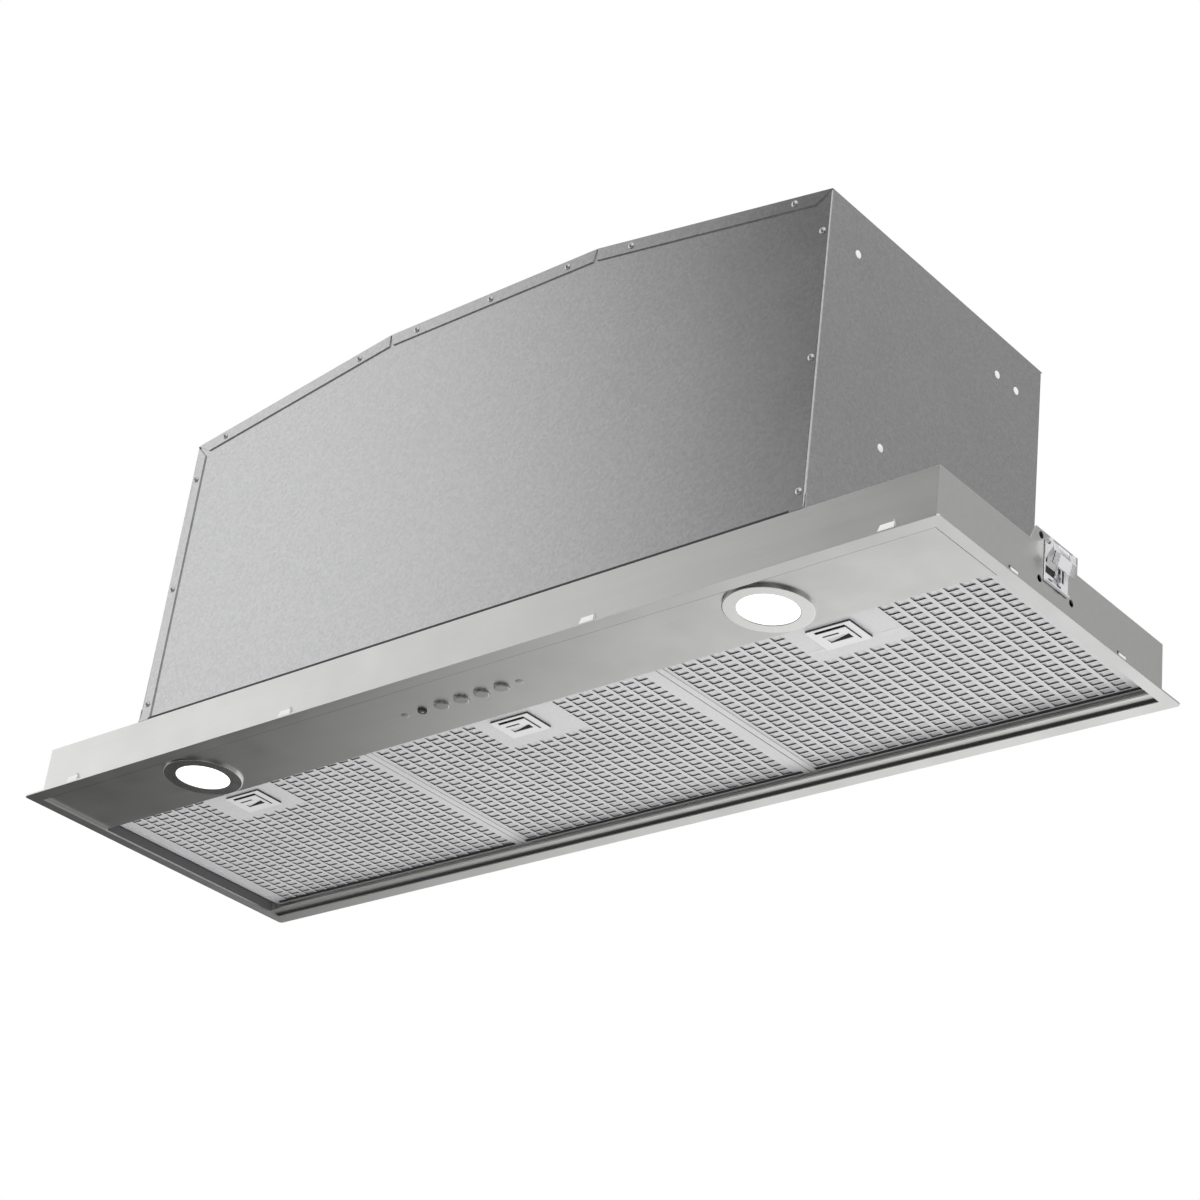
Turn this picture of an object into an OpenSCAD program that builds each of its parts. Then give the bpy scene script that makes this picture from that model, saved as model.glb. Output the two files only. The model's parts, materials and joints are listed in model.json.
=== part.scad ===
// Range hood insert: a shallow frame with a lip that seats against the underside
// of a cabinet, a control strip with push buttons and two lamps, three cassette
// filters that tilt down, and above them a riveted sheet body with a twin inlet
// blower, its electrics and a duct collar with a backdraft damper.
// Millimetres. +X is to the right and +Y to the back, as seen from the front.
// The origin is the middle of the footprint, level with the lowest faces.

/* [Lip and frame] */
// Width over the lip, left to right
insert_w = 860; // [780:1:1000]
// Depth over the lip, front to back
insert_d = 278; // [274:1:300]
// Height of the frame walls above the underside of the lip
frame_h = 43; // [41:0.5:60]
// How far the lip stands out past the side walls
lip_side = 8.7; // [8:0.1:20]
// How far the lip stands out past the front and back walls
lip_end = 10; // [5:0.5:11]
// Radius of the lip's corners
lip_corner_r = 3; // [1:0.5:8]
// Sheet thickness of the lip and the frame walls
frame_t = 1.2; // [0.8:0.1:1.6]
// Width of the locating tongues on the front wall, at their foot
tongue_w = 13; // [8:0.5:16]
// Height of the locating tongues on the front wall
tongue_h = 6; // [4:0.5:7]
// Width of the locating tongues on the side walls
side_tongue_w = 8; // [5:0.5:12]

/* [Fixing tabs and clips] */
// Length of the raised tab in the middle of each side wall
tab_w = 48; // [46:0.5:70]
// Height of the raised tab above the side wall
tab_h = 12; // [9:0.5:18]
// Diameter of the fixing holes round each clip
fix_hole_d = 5; // [4:0.1:6]
// Distance between the fixing holes, front to back
fix_pitch_y = 36.6; // [35.5:0.1:38]
// Distance between the fixing holes, up and down
fix_pitch_z = 31.4; // [30.8:0.1:32.5]
// Height of the lower fixing holes above the underside of the lip
fix_low_h = 19.5; // [17:0.5:20]
// Width of the clip bracket
clip_w = 27; // [22:0.5:28]
// Height of the clip bracket
clip_h = 30; // [28:0.5:31]
// How far the knee of the spring clip stands out from the side wall
clip_reach = 8; // [7:0.1:8]
// Sheet thickness of the clip and its bracket
clip_t = 1; // [0.8:0.1:1.2]

/* [Control strip] */
// Depth of the control strip, front to back
strip_d = 65.5; // [64:0.5:72]
// How far the strip and the back rail lie above the underside of the lip
pan_recess = 2.3; // [1:0.1:4]
// Sheet thickness of the strip and the back rail
strip_t = 1; // [0.8:0.1:1.2]
// Height of the turned up flanges of the strip
strip_flange_h = 17; // [15.5:0.5:17.5]
// Width of the bottom leg of the back rail
rail_leg = 9; // [8:0.5:12]
// Width of the upper leg of the back rail, which carries the filters
rail_ledge = 5; // [4:0.5:6]

/* [Buttons] */
// Diameter of the four large push buttons
button_d = 14; // [10:0.5:15]
// Diameter of the small push button
small_button_d = 8.5; // [6:0.5:10]
// Distance between neighbouring buttons
button_pitch = 19.1; // [18.5:0.1:20]
// How far a button stands out of the strip
button_proud = 1.5; // [1:0.1:2]
// How far a button travels when it is pressed
button_travel = 1.5; // [0.8:0.1:1.8]

/* [Lamps] */
// Diameter of the lamp bezel
lamp_d = 59; // [54:0.5:62]
// Diameter of the lit face of the lamp
lens_d = 44.5; // [38:0.5:46]
// How far the lamps stand below the underside of the lip
lamp_drop = 1; // [0.5:0.1:2]
// Distance from the middle of the strip to each lamp
lamp_x = 269.4; // [240:0.5:280]
// Height of the lamp above its bezel
lamp_h = 24; // [20:0.5:30]

/* [Filters] */
// How far the filters lie above the underside of the lip
filter_recess = 9; // [8.5:0.1:9.5]
// Thickness of a filter cassette
filter_t = 9; // [8.5:0.1:10]
// Width of the folded rim on the faces of a cassette
rim_w = 5; // [4:0.5:6]
// Sheet thickness of the cassette rim
rim_t = 0.8; // [0.6:0.1:1]
// Sheet thickness of the cassette faces
face_t = 0.6; // [0.4:0.1:0.8]
// Number of expanded mesh layers in a cassette
mesh_layers = 4; // [2:1:5]
// Sheet thickness of one mesh layer
mesh_t = 0.4; // [0.3:0.1:0.5]

/* [Filter latches] */
// Width of the latch housing
latch_w = 36; // [34:0.5:44]
// Depth of the latch housing, front to back
latch_d = 26; // [25:0.5:30]
// Distance from the front of the cassette to the latch housing
latch_setback = 13.5; // [10:0.5:16]
// Width of the sliding latch button
slider_w = 24; // [20:0.5:26]
// Depth of the sliding latch button, front to back
slider_d = 14; // [12:0.5:15]
// Travel of the latch
latch_travel = 4; // [3:0.1:4.5]

/* [Body] */
// Width of the riveted body
body_w = 636; // [600:1:660]
// Height of the body's shoulders above the frame walls
shoulder_rise = 250.5; // [246:0.5:300]
// Height of the flat crown above the shoulders
crown_rise = 33; // [20:0.5:45]
// Width of the flat crown
crown_w = 210; // [204:1:260]
// Sheet thickness of the body
body_t = 1; // [0.6:0.1:1.2]
// Width of the side panels' flanges over the front and back panels
side_flange = 11; // [9:0.1:14]
// Width of the top wrapper's flanges over the front and back panels
top_flange = 10.3; // [9:0.1:14]
// How far from the shoulders the wrapper's flanges reach their full width
mitre_run = 14.3; // [12:0.1:18]
// How far the body reaches down inside the frame
body_tuck = 20; // [12:0.5:21]
// Diameter of the rivet heads
rivet_d = 5.2; // [4:0.1:6]
// Diameter of the white plugs in the side panels
plug_d = 6; // [5:0.1:7]

/* [Duct collar and damper] */
// Outside diameter of the duct collar
duct_d = 150; // [120:1:152]
// Height of the duct collar above the crown
collar_h = 45; // [40:1:60]
// Wall thickness of the duct collar
collar_t = 1.2; // [1:0.1:1.4]
// Thickness of the damper flaps
flap_t = 1; // [0.8:0.1:1.2]
// Diameter of the pin that carries the damper flaps
damper_pin_d = 3; // [2.5:0.1:3.4]

/* [Blower] */
// Diameter of the blower wheel
wheel_d = 130; // [120:1:134]
// Width of the blower wheel
wheel_w = 128; // [116:1:136]
// Number of blades on the wheel
blade_count = 36; // [24:1:42]
// Gap between the wheel and each side wall of the blower housing
wheel_gap = 11; // [9:0.5:12]
// Wall thickness of the blower housing
scroll_t = 2; // [1.6:0.1:2.4]
// Height of the blower axis above the frame walls
blower_rise = 105; // [100:1:108]
// Diameter of the blower's inlets
inlet_d = 116; // [108:1:118]
// Diameter of the motor can
motor_d = 80; // [60:1:84]
// Diameter of the motor shaft
shaft_d = 8; // [6:0.5:10]

/* [Electrics] */
// Width of the control box, front to back
control_box_w = 110; // [80:1:130]
// Height of the control box
control_box_h = 100; // [70:1:110]
// Depth of the control box, off the side panel
control_box_d = 58; // [40:1:70]
// Length of the lamp driver
driver_length = 90; // [60:1:110]
// Diameter of the run capacitor
capacitor_d = 34; // [25:1:36]
// Bore of the supply lead gland
gland_bore_d = 8; // [7:0.5:9]

/* [Fits] */
// Running clearance of pins and shafts, on the radius
running_gap = 0.05; // [0.03:0.01:0.1]
// Clearance round a sliding piece
slide_gap = 0.3; // [0.2:0.05:0.4]
// Gap between a piece and the seat that it hangs or rests on
seat_gap = 0.3; // [0.2:0.05:0.4]
// Gap between neighbouring filters, and between a filter and the frame
filter_gap = 1; // [0.8:0.1:1.2]

/* [Hidden] */

$fn = 64;
// Overrun of cuts, so that no cut ends on a face
over = 1;

// Levels, from the lowest faces up
lip_z = lamp_drop;
pan_z = lip_z + pan_recess;
strip_top = pan_z + strip_t;
filter_z = lip_z + filter_recess;
filter_top = filter_z + filter_t;
frame_top = lip_z + frame_h;
shoulder_z = frame_top + shoulder_rise;
crown_z = shoulder_z + crown_rise;
body_foot = frame_top - body_tuck;

// Faces of the frame walls and of the body
wall_x = insert_w / 2 - lip_side;
wall_y = insert_d / 2 - lip_end;
inner_x = wall_x - frame_t;
inner_y = wall_y - frame_t;
body_x = body_w / 2;
crown_x = crown_w / 2;
panel_y = inner_y - body_t;

// Control strip
seam_gap = 0.3;
strip_front = -inner_y + seam_gap;
strip_back = strip_front + strip_d;
strip_mid = (strip_front + strip_back) / 2;
strip_end = inner_x - seam_gap;

// Filters: three alike side by side between the side walls
filter_count = 3;
filter_w = (2 * inner_x - (filter_count + 1) * filter_gap) / filter_count;
filter_pitch = filter_w + filter_gap;
filter_front = strip_back + filter_gap;
filter_back = inner_y - filter_gap;

// Latch, measured from the middle of the front of its cassette
latch_proud = 1.2;
latch_rim = 2.2;
latch_floor = 1.2;
slider_proud = 1;
slider_front_gap = 1.5;
carrier_w = 30;
carrier_t = 1.6;
nose_w = 18;
nose_t = 2.4;
nose_reach = filter_gap - seat_gap;
latch_y = filter_front + latch_setback;
latch_neck_w = latch_w - latch_rim;
latch_neck_y0 = latch_y + latch_rim / 2;
latch_neck_y1 = latch_y + latch_d - latch_rim / 2;
window_y0 = latch_y + latch_rim;
window_y1 = window_y0 + slider_front_gap + slider_d + latch_travel + slide_gap;
slider_y0 = window_y0 + slider_front_gap;
slider_y1 = slider_y0 + slider_d;
carrier_z = filter_z + rim_t + face_t + latch_floor + slide_gap;
nose_z = carrier_z;
latch_pocket_w = carrier_w + 2 * slide_gap;
latch_pocket_y1 = slider_y1 + latch_travel + latch_rim;

// Roof line of the body: height of its outside at a place across the width
function roof_z(x) =
    abs(x) <= crown_x ? crown_z
    : crown_z - crown_rise * (abs(x) - crown_x) / (body_x - crown_x);

// Rivets, as shares of the lengths that they divide
crown_rivet_shares = [-0.73, 0, 0.73];
slope_rivet_shares = [0.155, 0.85];
first_rivet_h = 15;
last_rivet_h = 33;
side_rivets = 3;
rivet_head_h = 1.4;
rivet_shank_d = 3.2;
rivet_fit = 0.05;
rivet_x = body_x - side_flange / 2;
rivet_z0 = frame_top + first_rivet_h;
rivet_z1 = shoulder_z - last_rivet_h;
side_rivet_places = [
    for (side = [-1, 1], i = [0 : side_rivets - 1])
        [side * rivet_x, rivet_z0 + (rivet_z1 - rivet_z0) * i / (side_rivets - 1)]
];
roof_rivet_x = concat(
    [for (share = crown_rivet_shares) share * crown_x],
    [for (side = [-1, 1], share = slope_rivet_shares)
        side * (crown_x + share * (body_x - crown_x))]
);
roof_rivet_places = [for (x = roof_rivet_x) [x, roof_z(x) - top_flange / 2]];
rivet_places = concat(side_rivet_places, roof_rivet_places);

// Plugged holes in the side panels, as shares of the half depth and of the height
plug_shares = [[-0.744, 0.864], [0.564, 0.864], [0.752, 0.864], [-0.433, 0.339]];
plug_overlap = 0.5;
plug_hole_d = plug_d - 2 * plug_overlap;
plug_head_h = 0.6;
plug_fit = 0.05;

// Up and down turned edges of the deck plates
deck_flange_h = 12;

// Foot of each side flange, bent out over the rim of the frame
foot_h = 1.3;

// Tongues on the frame walls, as shares of the half width or half depth
tongue_x_shares = [-0.914, -0.344, 0.344, 0.914];
side_tongue_y_shares = [-0.37, 0.605];
tongue_foot_h = 8;
tongue_t = 1.2;
tongue_top_share = 0.75;
side_tongue_h = 3;

// Duct collar, damper and the screws on the crown
collar_r = duct_d / 2;
collar_bore_r = collar_r - collar_t;
collar_flange_w = 15;
collar_flange_r = collar_r + collar_flange_w;
collar_screw_r = collar_r + collar_flange_w / 2;
stop_w = 4;
stop_h = 8;
stop_t = 1.2;
pin_rise = 12.5;
pin_z = crown_z + pin_rise;
pin_r = damper_pin_d / 2;
knuckle_wall = 1.3;
knuckle_r = pin_r + knuckle_wall;
flap_z = crown_z + stop_h + stop_t + seat_gap;
flap_gap = 0.8;
flap_r = collar_bore_r - flap_gap;
flap_edge_gap = 0.4;
flap_edge = knuckle_r + flap_edge_gap;
knuckle_gap = 0.5;
knuckle_share = 0.4;
knuckle_x = flap_r * knuckle_share;
knuckle_end_gap = 3;
knuckle_end_x = flap_r - knuckle_end_gap;

// Blower housing: a spiral that opens into a throat under the collar
blower_y = 12;
blower_z = frame_top + blower_rise;
scroll_half = wheel_w / 2 + wheel_gap + scroll_t;
wheel_r = wheel_d / 2;
cutoff_gap = 5;
spiral_growth = 36;
spiral_r0 = wheel_r + cutoff_gap + scroll_t;
spiral_r1 = spiral_r0 + spiral_growth;
spiral_a0 = 60;
spiral_a1 = -180;
spiral_steps = 32;
throat_margin = 3;
throat_r = duct_d / 2 + throat_margin;
throat_top = crown_z - body_t;
throat_bend_rise = 30;
scroll_flange_w = 7;
scroll_flange_t = 3;
scroll_screw_x = scroll_half + scroll_flange_w / 2;

// Motor and wheel
motor_r = motor_d / 2;
shaft_r = shaft_d / 2;
hub_x0 = -2;
hub_l = 14;
hub_wall = 8;
hub_r = shaft_r + hub_wall;
hub_fit = 0.02;
boss_l = 4;
boss_wall = 5;
boss_r = shaft_r + boss_wall;
motor_hub_gap = 4;
motor_overhang = 1;
motor_back = -scroll_half - motor_overhang;
motor_front = hub_x0 - motor_hub_gap - boss_l;
shaft_depth = 28;
shaft_end = 2;
shaft_x0 = motor_front - shaft_depth;
shaft_x1 = hub_x0 + hub_l + shaft_end;
bracket_t = 3;
bracket_rim_w = 12;
bracket_hub_share = 0.6;
bracket_hub_r = motor_r * bracket_hub_share;
arm_w = 12;
arm_count = 3;
blade_depth = 11;
blade_t = 1;
blade_lean = 35;
wheel_ring_t = 2;
wheel_inner_r = wheel_r - blade_depth;

// Electrics
box_t = 1;
box_z = frame_top + shoulder_rise / 2;
board_t = 1.6;
standoff_l = 6;
standoff_r = 3;
driver_h = 40;
driver_t = 25;
driver_inset = 60;
driver_rise = 80;
driver_x = -body_x + driver_inset;
driver_z = frame_top + driver_rise;
relay_w = 40;
relay_h = 25;
relay_out = 28;
capacitor_l = 60;
capacitor_y = 0;
capacitor_rise = 115;
capacitor_z = blower_z + capacitor_rise;
gland_y = 20;
gland_drop = 33;
gland_z = shoulder_z - gland_drop;
gland_wall = 3.5;
gland_thread_r = gland_bore_d / 2 + gland_wall;
gland_hex_w = 4;
gland_hex_r = gland_thread_r + gland_hex_w;
gland_flange_t = 5;
gland_dome_l = 10;
gland_nut_t = 4;

// Buttons and their housing
button_flange_w = 1;
button_flange_t = 1;
stem_r = 2.5;
stem_l = 9.5;
stem_top = strip_top + stem_l;
guide_rise = 4.5;
guide_z = strip_top + guide_rise;
guide_t = 1.5;
switch_gap = 0.3;
switch_z = stem_top + button_travel + switch_gap;
switch_h = 2;
switch_w = 6;
stud_x = 55;
stud_r = 1.5;
stud_l = 8;
stud_wall = 2.8;
housing_t = 1.5;
housing_half_l = stud_x + stud_r + stud_wall;
housing_cavity_l = stud_x - stud_r - housing_t;
housing_half_d = 13;
board_headroom = 1.5;
housing_top = switch_z + switch_h + board_t + board_headroom + housing_t;

// Lamps
lamp_places = [[-lamp_x, strip_mid], [lamp_x, strip_mid]];
bezel_r = lamp_d / 2;
lens_r = lens_d / 2;
lens_seat = 1.8;
lens_t = 1.8;
bezel_lip_t = 0.8;
bezel_chamfer = 1.2;
tube_t = 2;
tube_r = lens_r + lens_seat + tube_t;
tube_rise = 8;
tube_top = strip_top + tube_rise;
tube_fit = 0.3;
ear_out = 2;
ear_h = 2.5;
ear_w = 10;

// Screws
screw_head_d = 7;
screw_head_h = 2;
screw_shank_d = 3.5;
screw_fit = 0.1;
screw_l = 4;

// Clips
clip_y = -1;
clip_foot_h = 20;
clip_z0 = lip_z + clip_foot_h;
clip_pivot_out = 4;
clip_pivot_drop = 4;
clip_pivot_z = clip_z0 + clip_h - clip_pivot_drop;
clip_pin_r = 1.2;
clip_eye_r = clip_pin_r + clip_t;
clip_cheek_out = 6.2;
clip_leaf_w = clip_w - 2 * clip_t - 2 * slide_gap;
clip_knee_drop = 7;
clip_toe_drop = 14;
clip_toe_out = 6;
clip_screw_rise = 7;
fix_mid_z = lip_z + fix_low_h + fix_pitch_z / 2;

// A box given by its ends along each axis
module span(x, y, z) {
    translate([x[0], y[0], z[0]])
        cube([x[1] - x[0], y[1] - y[0], z[1] - z[0]]);
}

// The same piece on the left and on the right
module both_sides() {
    children();
    mirror([1, 0, 0])
        children();
}

// An outline in the X and Z axes, made solid along Y
module upright(y0, y1) {
    translate([0, y1, 0])
        rotate([90, 0, 0])
            linear_extrude(y1 - y0)
                children();
}

// An outline in the Y and Z axes, made solid along X
module sideways(x0, x1) {
    translate([x0, 0, 0])
        rotate([90, 0, 90])
            linear_extrude(x1 - x0)
                children();
}

// A round bar along X
module bar_x(x0, x1, y, z, r) {
    translate([x0, y, z])
        rotate([0, 90, 0])
            cylinder(r = r, h = x1 - x0);
}

// A round bar along Y
module bar_y(x, z, y0, y1, r) {
    translate([x, y1, z])
        rotate([90, 0, 0])
            cylinder(r = r, h = y1 - y0);
}

// Frame

module fixing_holes() {
    for (dy = [-1, 1], dz = [-1, 1])
        bar_x(inner_x - over, wall_x + over, dy * fix_pitch_y / 2,
            fix_mid_z + dz * fix_pitch_z / 2, fix_hole_d / 2);
}

module clip_screw_place() {
    translate([wall_x, clip_y, clip_z0 + clip_screw_rise])
        rotate([0, 90, 0])
            children();
}

module lip_outline() {
    for (sx = [-1, 1], sy = [-1, 1])
        translate([sx * (insert_w / 2 - lip_corner_r), sy * (insert_d / 2 - lip_corner_r)])
            circle(lip_corner_r);
    square([insert_w - 2 * lip_corner_r, insert_d], center = true);
    square([insert_w, insert_d - 2 * lip_corner_r], center = true);
}

module front_tongues() {
    for (share = tongue_x_shares)
        translate([share * wall_x, 0, lip_z + tongue_foot_h])
            upright(-wall_y - tongue_t, -wall_y)
                polygon([
                    [-tongue_w / 2, 0], [tongue_w / 2, 0],
                    [tongue_w * tongue_top_share / 2, tongue_h],
                    [-tongue_w * tongue_top_share / 2, tongue_h]
                ]);
}

module side_tongues() {
    for (share = side_tongue_y_shares)
        span([wall_x, wall_x + tongue_t],
            [share * wall_y - side_tongue_w / 2, share * wall_y + side_tongue_w / 2],
            [lip_z + tongue_foot_h, lip_z + tongue_foot_h + side_tongue_h]);
}

module fixing_tab() {
    sideways(inner_x, wall_x)
        polygon([
            [-tab_w / 2 - tab_h / 2, frame_top - over], [tab_w / 2, frame_top - over],
            [tab_w / 2, frame_top + tab_h], [-tab_w / 2, frame_top + tab_h],
            [-tab_w / 2 - tab_h / 2, frame_top]
        ]);
}

module canopy_frame() {
    color([0.78, 0.78, 0.77])
        difference() {
            union() {
                translate([0, 0, lip_z])
                    linear_extrude(frame_t)
                        lip_outline();
                span([-wall_x, wall_x], [-wall_y, wall_y], [lip_z, frame_top]);
                both_sides() {
                    fixing_tab();
                    side_tongues();
                }
                front_tongues();
            }
            span([-inner_x, inner_x], [-inner_y, inner_y], [lip_z - over, frame_top + tab_h + over]);
            both_sides() {
                fixing_holes();
                clip_screw_place()
                    cylinder(r = screw_shank_d / 2 + screw_fit, h = 4 * frame_t, center = true);
            }
        }
}

module deck_right_shape() {
    span([body_x, inner_x], [-inner_y, inner_y], [frame_top - frame_t, frame_top]);
    span([body_x, body_x + frame_t], [-inner_y, inner_y],
        [frame_top - frame_t, frame_top + deck_flange_h]);
    span([inner_x - frame_t, inner_x], [-inner_y, inner_y], [frame_top - deck_flange_h, frame_top]);
}

module deck_left() {
    color([0.66, 0.67, 0.68])
        mirror([1, 0, 0])
            deck_right_shape();
}

module deck_right() {
    color([0.66, 0.67, 0.68])
        deck_right_shape();
}

// Control strip and back rail

button_x = [for (i = [-2 : 2]) i * button_pitch];

module control_panel() {
    color([0.62, 0.62, 0.61])
        difference() {
            union() {
                span([-strip_end, strip_end], [strip_front, strip_back], [pan_z, strip_top]);
                span([-strip_end, strip_end], [strip_front, strip_front + strip_t],
                    [pan_z, pan_z + strip_flange_h]);
                span([-strip_end, strip_end], [strip_back - strip_t, strip_back],
                    [pan_z, pan_z + strip_flange_h]);
                for (side = [-1, 1])
                    translate([side * stud_x, strip_mid, strip_top])
                        cylinder(r = stud_r, h = stud_l);
            }
            for (x = button_x)
                translate([x, strip_mid, pan_z - over])
                    cylinder(r = (x == button_x[0] ? small_button_d : button_d) / 2 + slide_gap,
                        h = strip_t + 2 * over);
            for (p = lamp_places)
                translate([p[0], p[1], pan_z - over])
                    cylinder(r = tube_r + tube_fit, h = strip_t + 2 * over);
            for (i = [-1 : 1])
                span([i * filter_pitch - nose_w / 2 - filter_gap, i * filter_pitch + nose_w / 2 + filter_gap],
                    [strip_back - strip_t - over, strip_back + over],
                    [nose_z - filter_gap, nose_z + nose_t + filter_gap]);
        }
}

module rear_rail() {
    ledge_z = filter_z - seat_gap;
    color([0.72, 0.72, 0.71]) {
        span([-strip_end, strip_end], [inner_y - rail_leg, inner_y], [pan_z, strip_top]);
        span([-strip_end, strip_end], [inner_y - strip_t, inner_y], [pan_z, ledge_z]);
        span([-strip_end, strip_end], [inner_y - rail_ledge, inner_y], [ledge_z - strip_t, ledge_z]);
    }
}

// Body

module rivet_shanks(y0, y1, r) {
    for (p = rivet_places)
        bar_y(p[0], p[1], y0, y1, r);
}

// Flat panel behind the flanges, open along the roof line by one sheet
module end_panel_outline() {
    polygon([
        [-body_x + body_t, body_foot], [body_x - body_t, body_foot],
        [body_x - body_t, shoulder_z - body_t], [crown_x, crown_z - body_t],
        [-crown_x, crown_z - body_t], [-body_x + body_t, shoulder_z - body_t]
    ]);
}

module front_panel() {
    color([0.72, 0.72, 0.73])
        difference() {
            upright(-panel_y, -panel_y + body_t)
                end_panel_outline();
            rivet_shanks(-panel_y - over, -panel_y + body_t + over, rivet_shank_d / 2 + rivet_fit);
        }
}

module back_panel() {
    color([0.7, 0.7, 0.71])
        difference() {
            upright(panel_y - body_t, panel_y)
                end_panel_outline();
            rivet_shanks(panel_y - body_t - over, panel_y + over, rivet_shank_d / 2 + rivet_fit);
        }
}

module side_flange_outline() {
    polygon([
        [body_x - side_flange, body_foot], [body_x, body_foot],
        [body_x, shoulder_z - body_t], [body_x - side_flange, shoulder_z - body_t - side_flange]
    ]);
}

module plug_places() {
    for (p = plug_shares)
        translate([body_x, p[0] * inner_y, frame_top + p[1] * shoulder_rise])
            rotate([0, 90, 0])
                children();
}

module side_panel_right_shape() {
    difference() {
        union() {
            span([body_x - body_t, body_x], [-inner_y, inner_y], [body_foot, shoulder_z - body_t]);
            upright(-inner_y, -panel_y)
                side_flange_outline();
            upright(panel_y, inner_y)
                side_flange_outline();
            for (y = [-wall_y, panel_y])
                span([body_x - side_flange, body_x], [y, y + wall_y - panel_y],
                    [frame_top + seat_gap, frame_top + seat_gap + foot_h]);
        }
        rivet_shanks(-inner_y - over, inner_y + over, rivet_shank_d / 2 + rivet_fit);
        plug_places()
            cylinder(r = plug_hole_d / 2, h = 4 * body_t, center = true);
    }
}

module side_panel_left() {
    color([0.6, 0.6, 0.61])
        difference() {
            mirror([1, 0, 0])
                side_panel_right_shape();
            bar_x(-body_x - over, -body_x + body_t + over, gland_y, gland_z, gland_thread_r + screw_fit);
        }
}

module side_panel_right() {
    color([0.56, 0.56, 0.57])
        side_panel_right_shape();
}

// Flange of one flat of the wrapper: from x0 to x1, its ends cut on a slant
module roof_flange_outline(x0, x1, slant0, slant1) {
    polygon([
        [x0, roof_z(x0)], [x1, roof_z(x1)],
        [x1 + slant1, roof_z(x1 + slant1) - top_flange],
        [x0 + slant0, roof_z(x0 + slant0) - top_flange]
    ]);
}

crown_gap = 0.4;
crown_slant = 3;
module roof_flanges() {
    roof_flange_outline(-crown_x + crown_gap, crown_x - crown_gap, crown_slant, -crown_slant);
    for (side = [0, 1])
        mirror([side, 0, 0])
            roof_flange_outline(crown_x + crown_gap, body_x, 0, -mitre_run);
}

module roof_sheet_outline() {
    polygon([
        [-body_x, shoulder_z], [-crown_x, crown_z], [crown_x, crown_z], [body_x, shoulder_z],
        [body_x, shoulder_z - body_t], [crown_x, crown_z - body_t],
        [-crown_x, crown_z - body_t], [-body_x, shoulder_z - body_t]
    ]);
}

module collar_screw_places() {
    for (a = [45 : 90 : 315])
        translate([collar_screw_r * cos(a), collar_screw_r * sin(a), crown_z])
            children();
}

module scroll_screw_places() {
    for (sx = [-1, 1], sy = [-1, 1])
        translate([sx * scroll_screw_x, sy * throat_r, crown_z])
            children();
}

module top_wrapper() {
    color([0.68, 0.68, 0.69])
        difference() {
            union() {
                upright(-inner_y, inner_y)
                    roof_sheet_outline();
                upright(-inner_y, -panel_y)
                    roof_flanges();
                upright(panel_y, inner_y)
                    roof_flanges();
            }
            translate([0, 0, crown_z - body_t - over])
                cylinder(r = collar_bore_r, h = body_t + 2 * over);
            collar_screw_places()
                cylinder(r = screw_shank_d / 2 + screw_fit, h = 4 * body_t, center = true);
            scroll_screw_places()
                cylinder(r = screw_shank_d / 2 + screw_fit, h = 4 * body_t, center = true);
            rivet_shanks(-inner_y - over, inner_y + over, rivet_shank_d / 2 + rivet_fit);
        }
}

// Rivets and plugs

rivet_dome_r = (rivet_d * rivet_d / 4 + rivet_head_h * rivet_head_h) / (2 * rivet_head_h);

// Rivet with its head at the origin, its shank along +Z
module rivet() {
    difference() {
        translate([0, 0, rivet_dome_r - rivet_head_h])
            sphere(r = rivet_dome_r);
        translate([-rivet_dome_r, -rivet_dome_r, 0])
            cube(4 * rivet_dome_r);
    }
    cylinder(r = rivet_shank_d / 2, h = 2 * body_t);
}

module body_rivets() {
    color([0.8, 0.8, 0.8])
        for (p = rivet_places) {
            translate([p[0], -inner_y, p[1]])
                rotate([-90, 0, 0])
                    rivet();
            translate([p[0], inner_y, p[1]])
                rotate([90, 0, 0])
                    rivet();
        }
}

module hole_plugs() {
    color([0.95, 0.95, 0.95])
        both_sides()
            plug_places() {
                cylinder(r = plug_d / 2, h = plug_head_h);
                translate([0, 0, -body_t])
                    cylinder(r = plug_hole_d / 2 - plug_fit, h = body_t);
            }
}

// Screws

// Pan head screw with its seat at the origin, its shank along -Z
module screw() {
    cylinder(r = screw_head_d / 2, h = screw_head_h);
    translate([0, 0, -screw_l])
        cylinder(r = screw_shank_d / 2, h = screw_l);
}

module sheet_screws() {
    color([0.75, 0.75, 0.76]) {
        translate([0, 0, collar_t])
            collar_screw_places()
                screw();
        scroll_screw_places()
            screw();
        both_sides()
            translate([clip_t, 0, 0])
                clip_screw_place()
                    screw();
    }
}

// Duct collar and damper

module duct_collar() {
    color([0.74, 0.75, 0.76])
        difference() {
            union() {
                translate([0, 0, crown_z])
                    cylinder(r = collar_flange_r, h = collar_t);
                translate([0, 0, crown_z])
                    cylinder(r = collar_r, h = collar_h);
            }
            translate([0, 0, crown_z + stop_h + stop_t])
                cylinder(r = collar_bore_r, h = collar_h);
            translate([0, 0, crown_z - over])
                cylinder(r = collar_bore_r - stop_w, h = collar_h);
            translate([0, 0, crown_z - over])
                cylinder(r = collar_bore_r, h = stop_h + over);
            bar_x(-collar_flange_r, collar_flange_r, 0, pin_z, pin_r + running_gap);
            collar_screw_places()
                cylinder(r = screw_shank_d / 2 + screw_fit, h = 4 * collar_t, center = true);
        }
}

module damper_pin() {
    color([0.8, 0.8, 0.8])
        bar_x(-collar_r, collar_r, 0, pin_z, pin_r);
}

// Knuckle on the pin with the web that ties it to its flap
module knuckle(x0, x1) {
    bar_x(x0, x1, 0, pin_z, knuckle_r);
    span([x0, x1], [0, flap_edge + over], [flap_z, flap_z + flap_t]);
    span([x0, x1], [0, knuckle_r], [flap_z, pin_z]);
}

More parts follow.
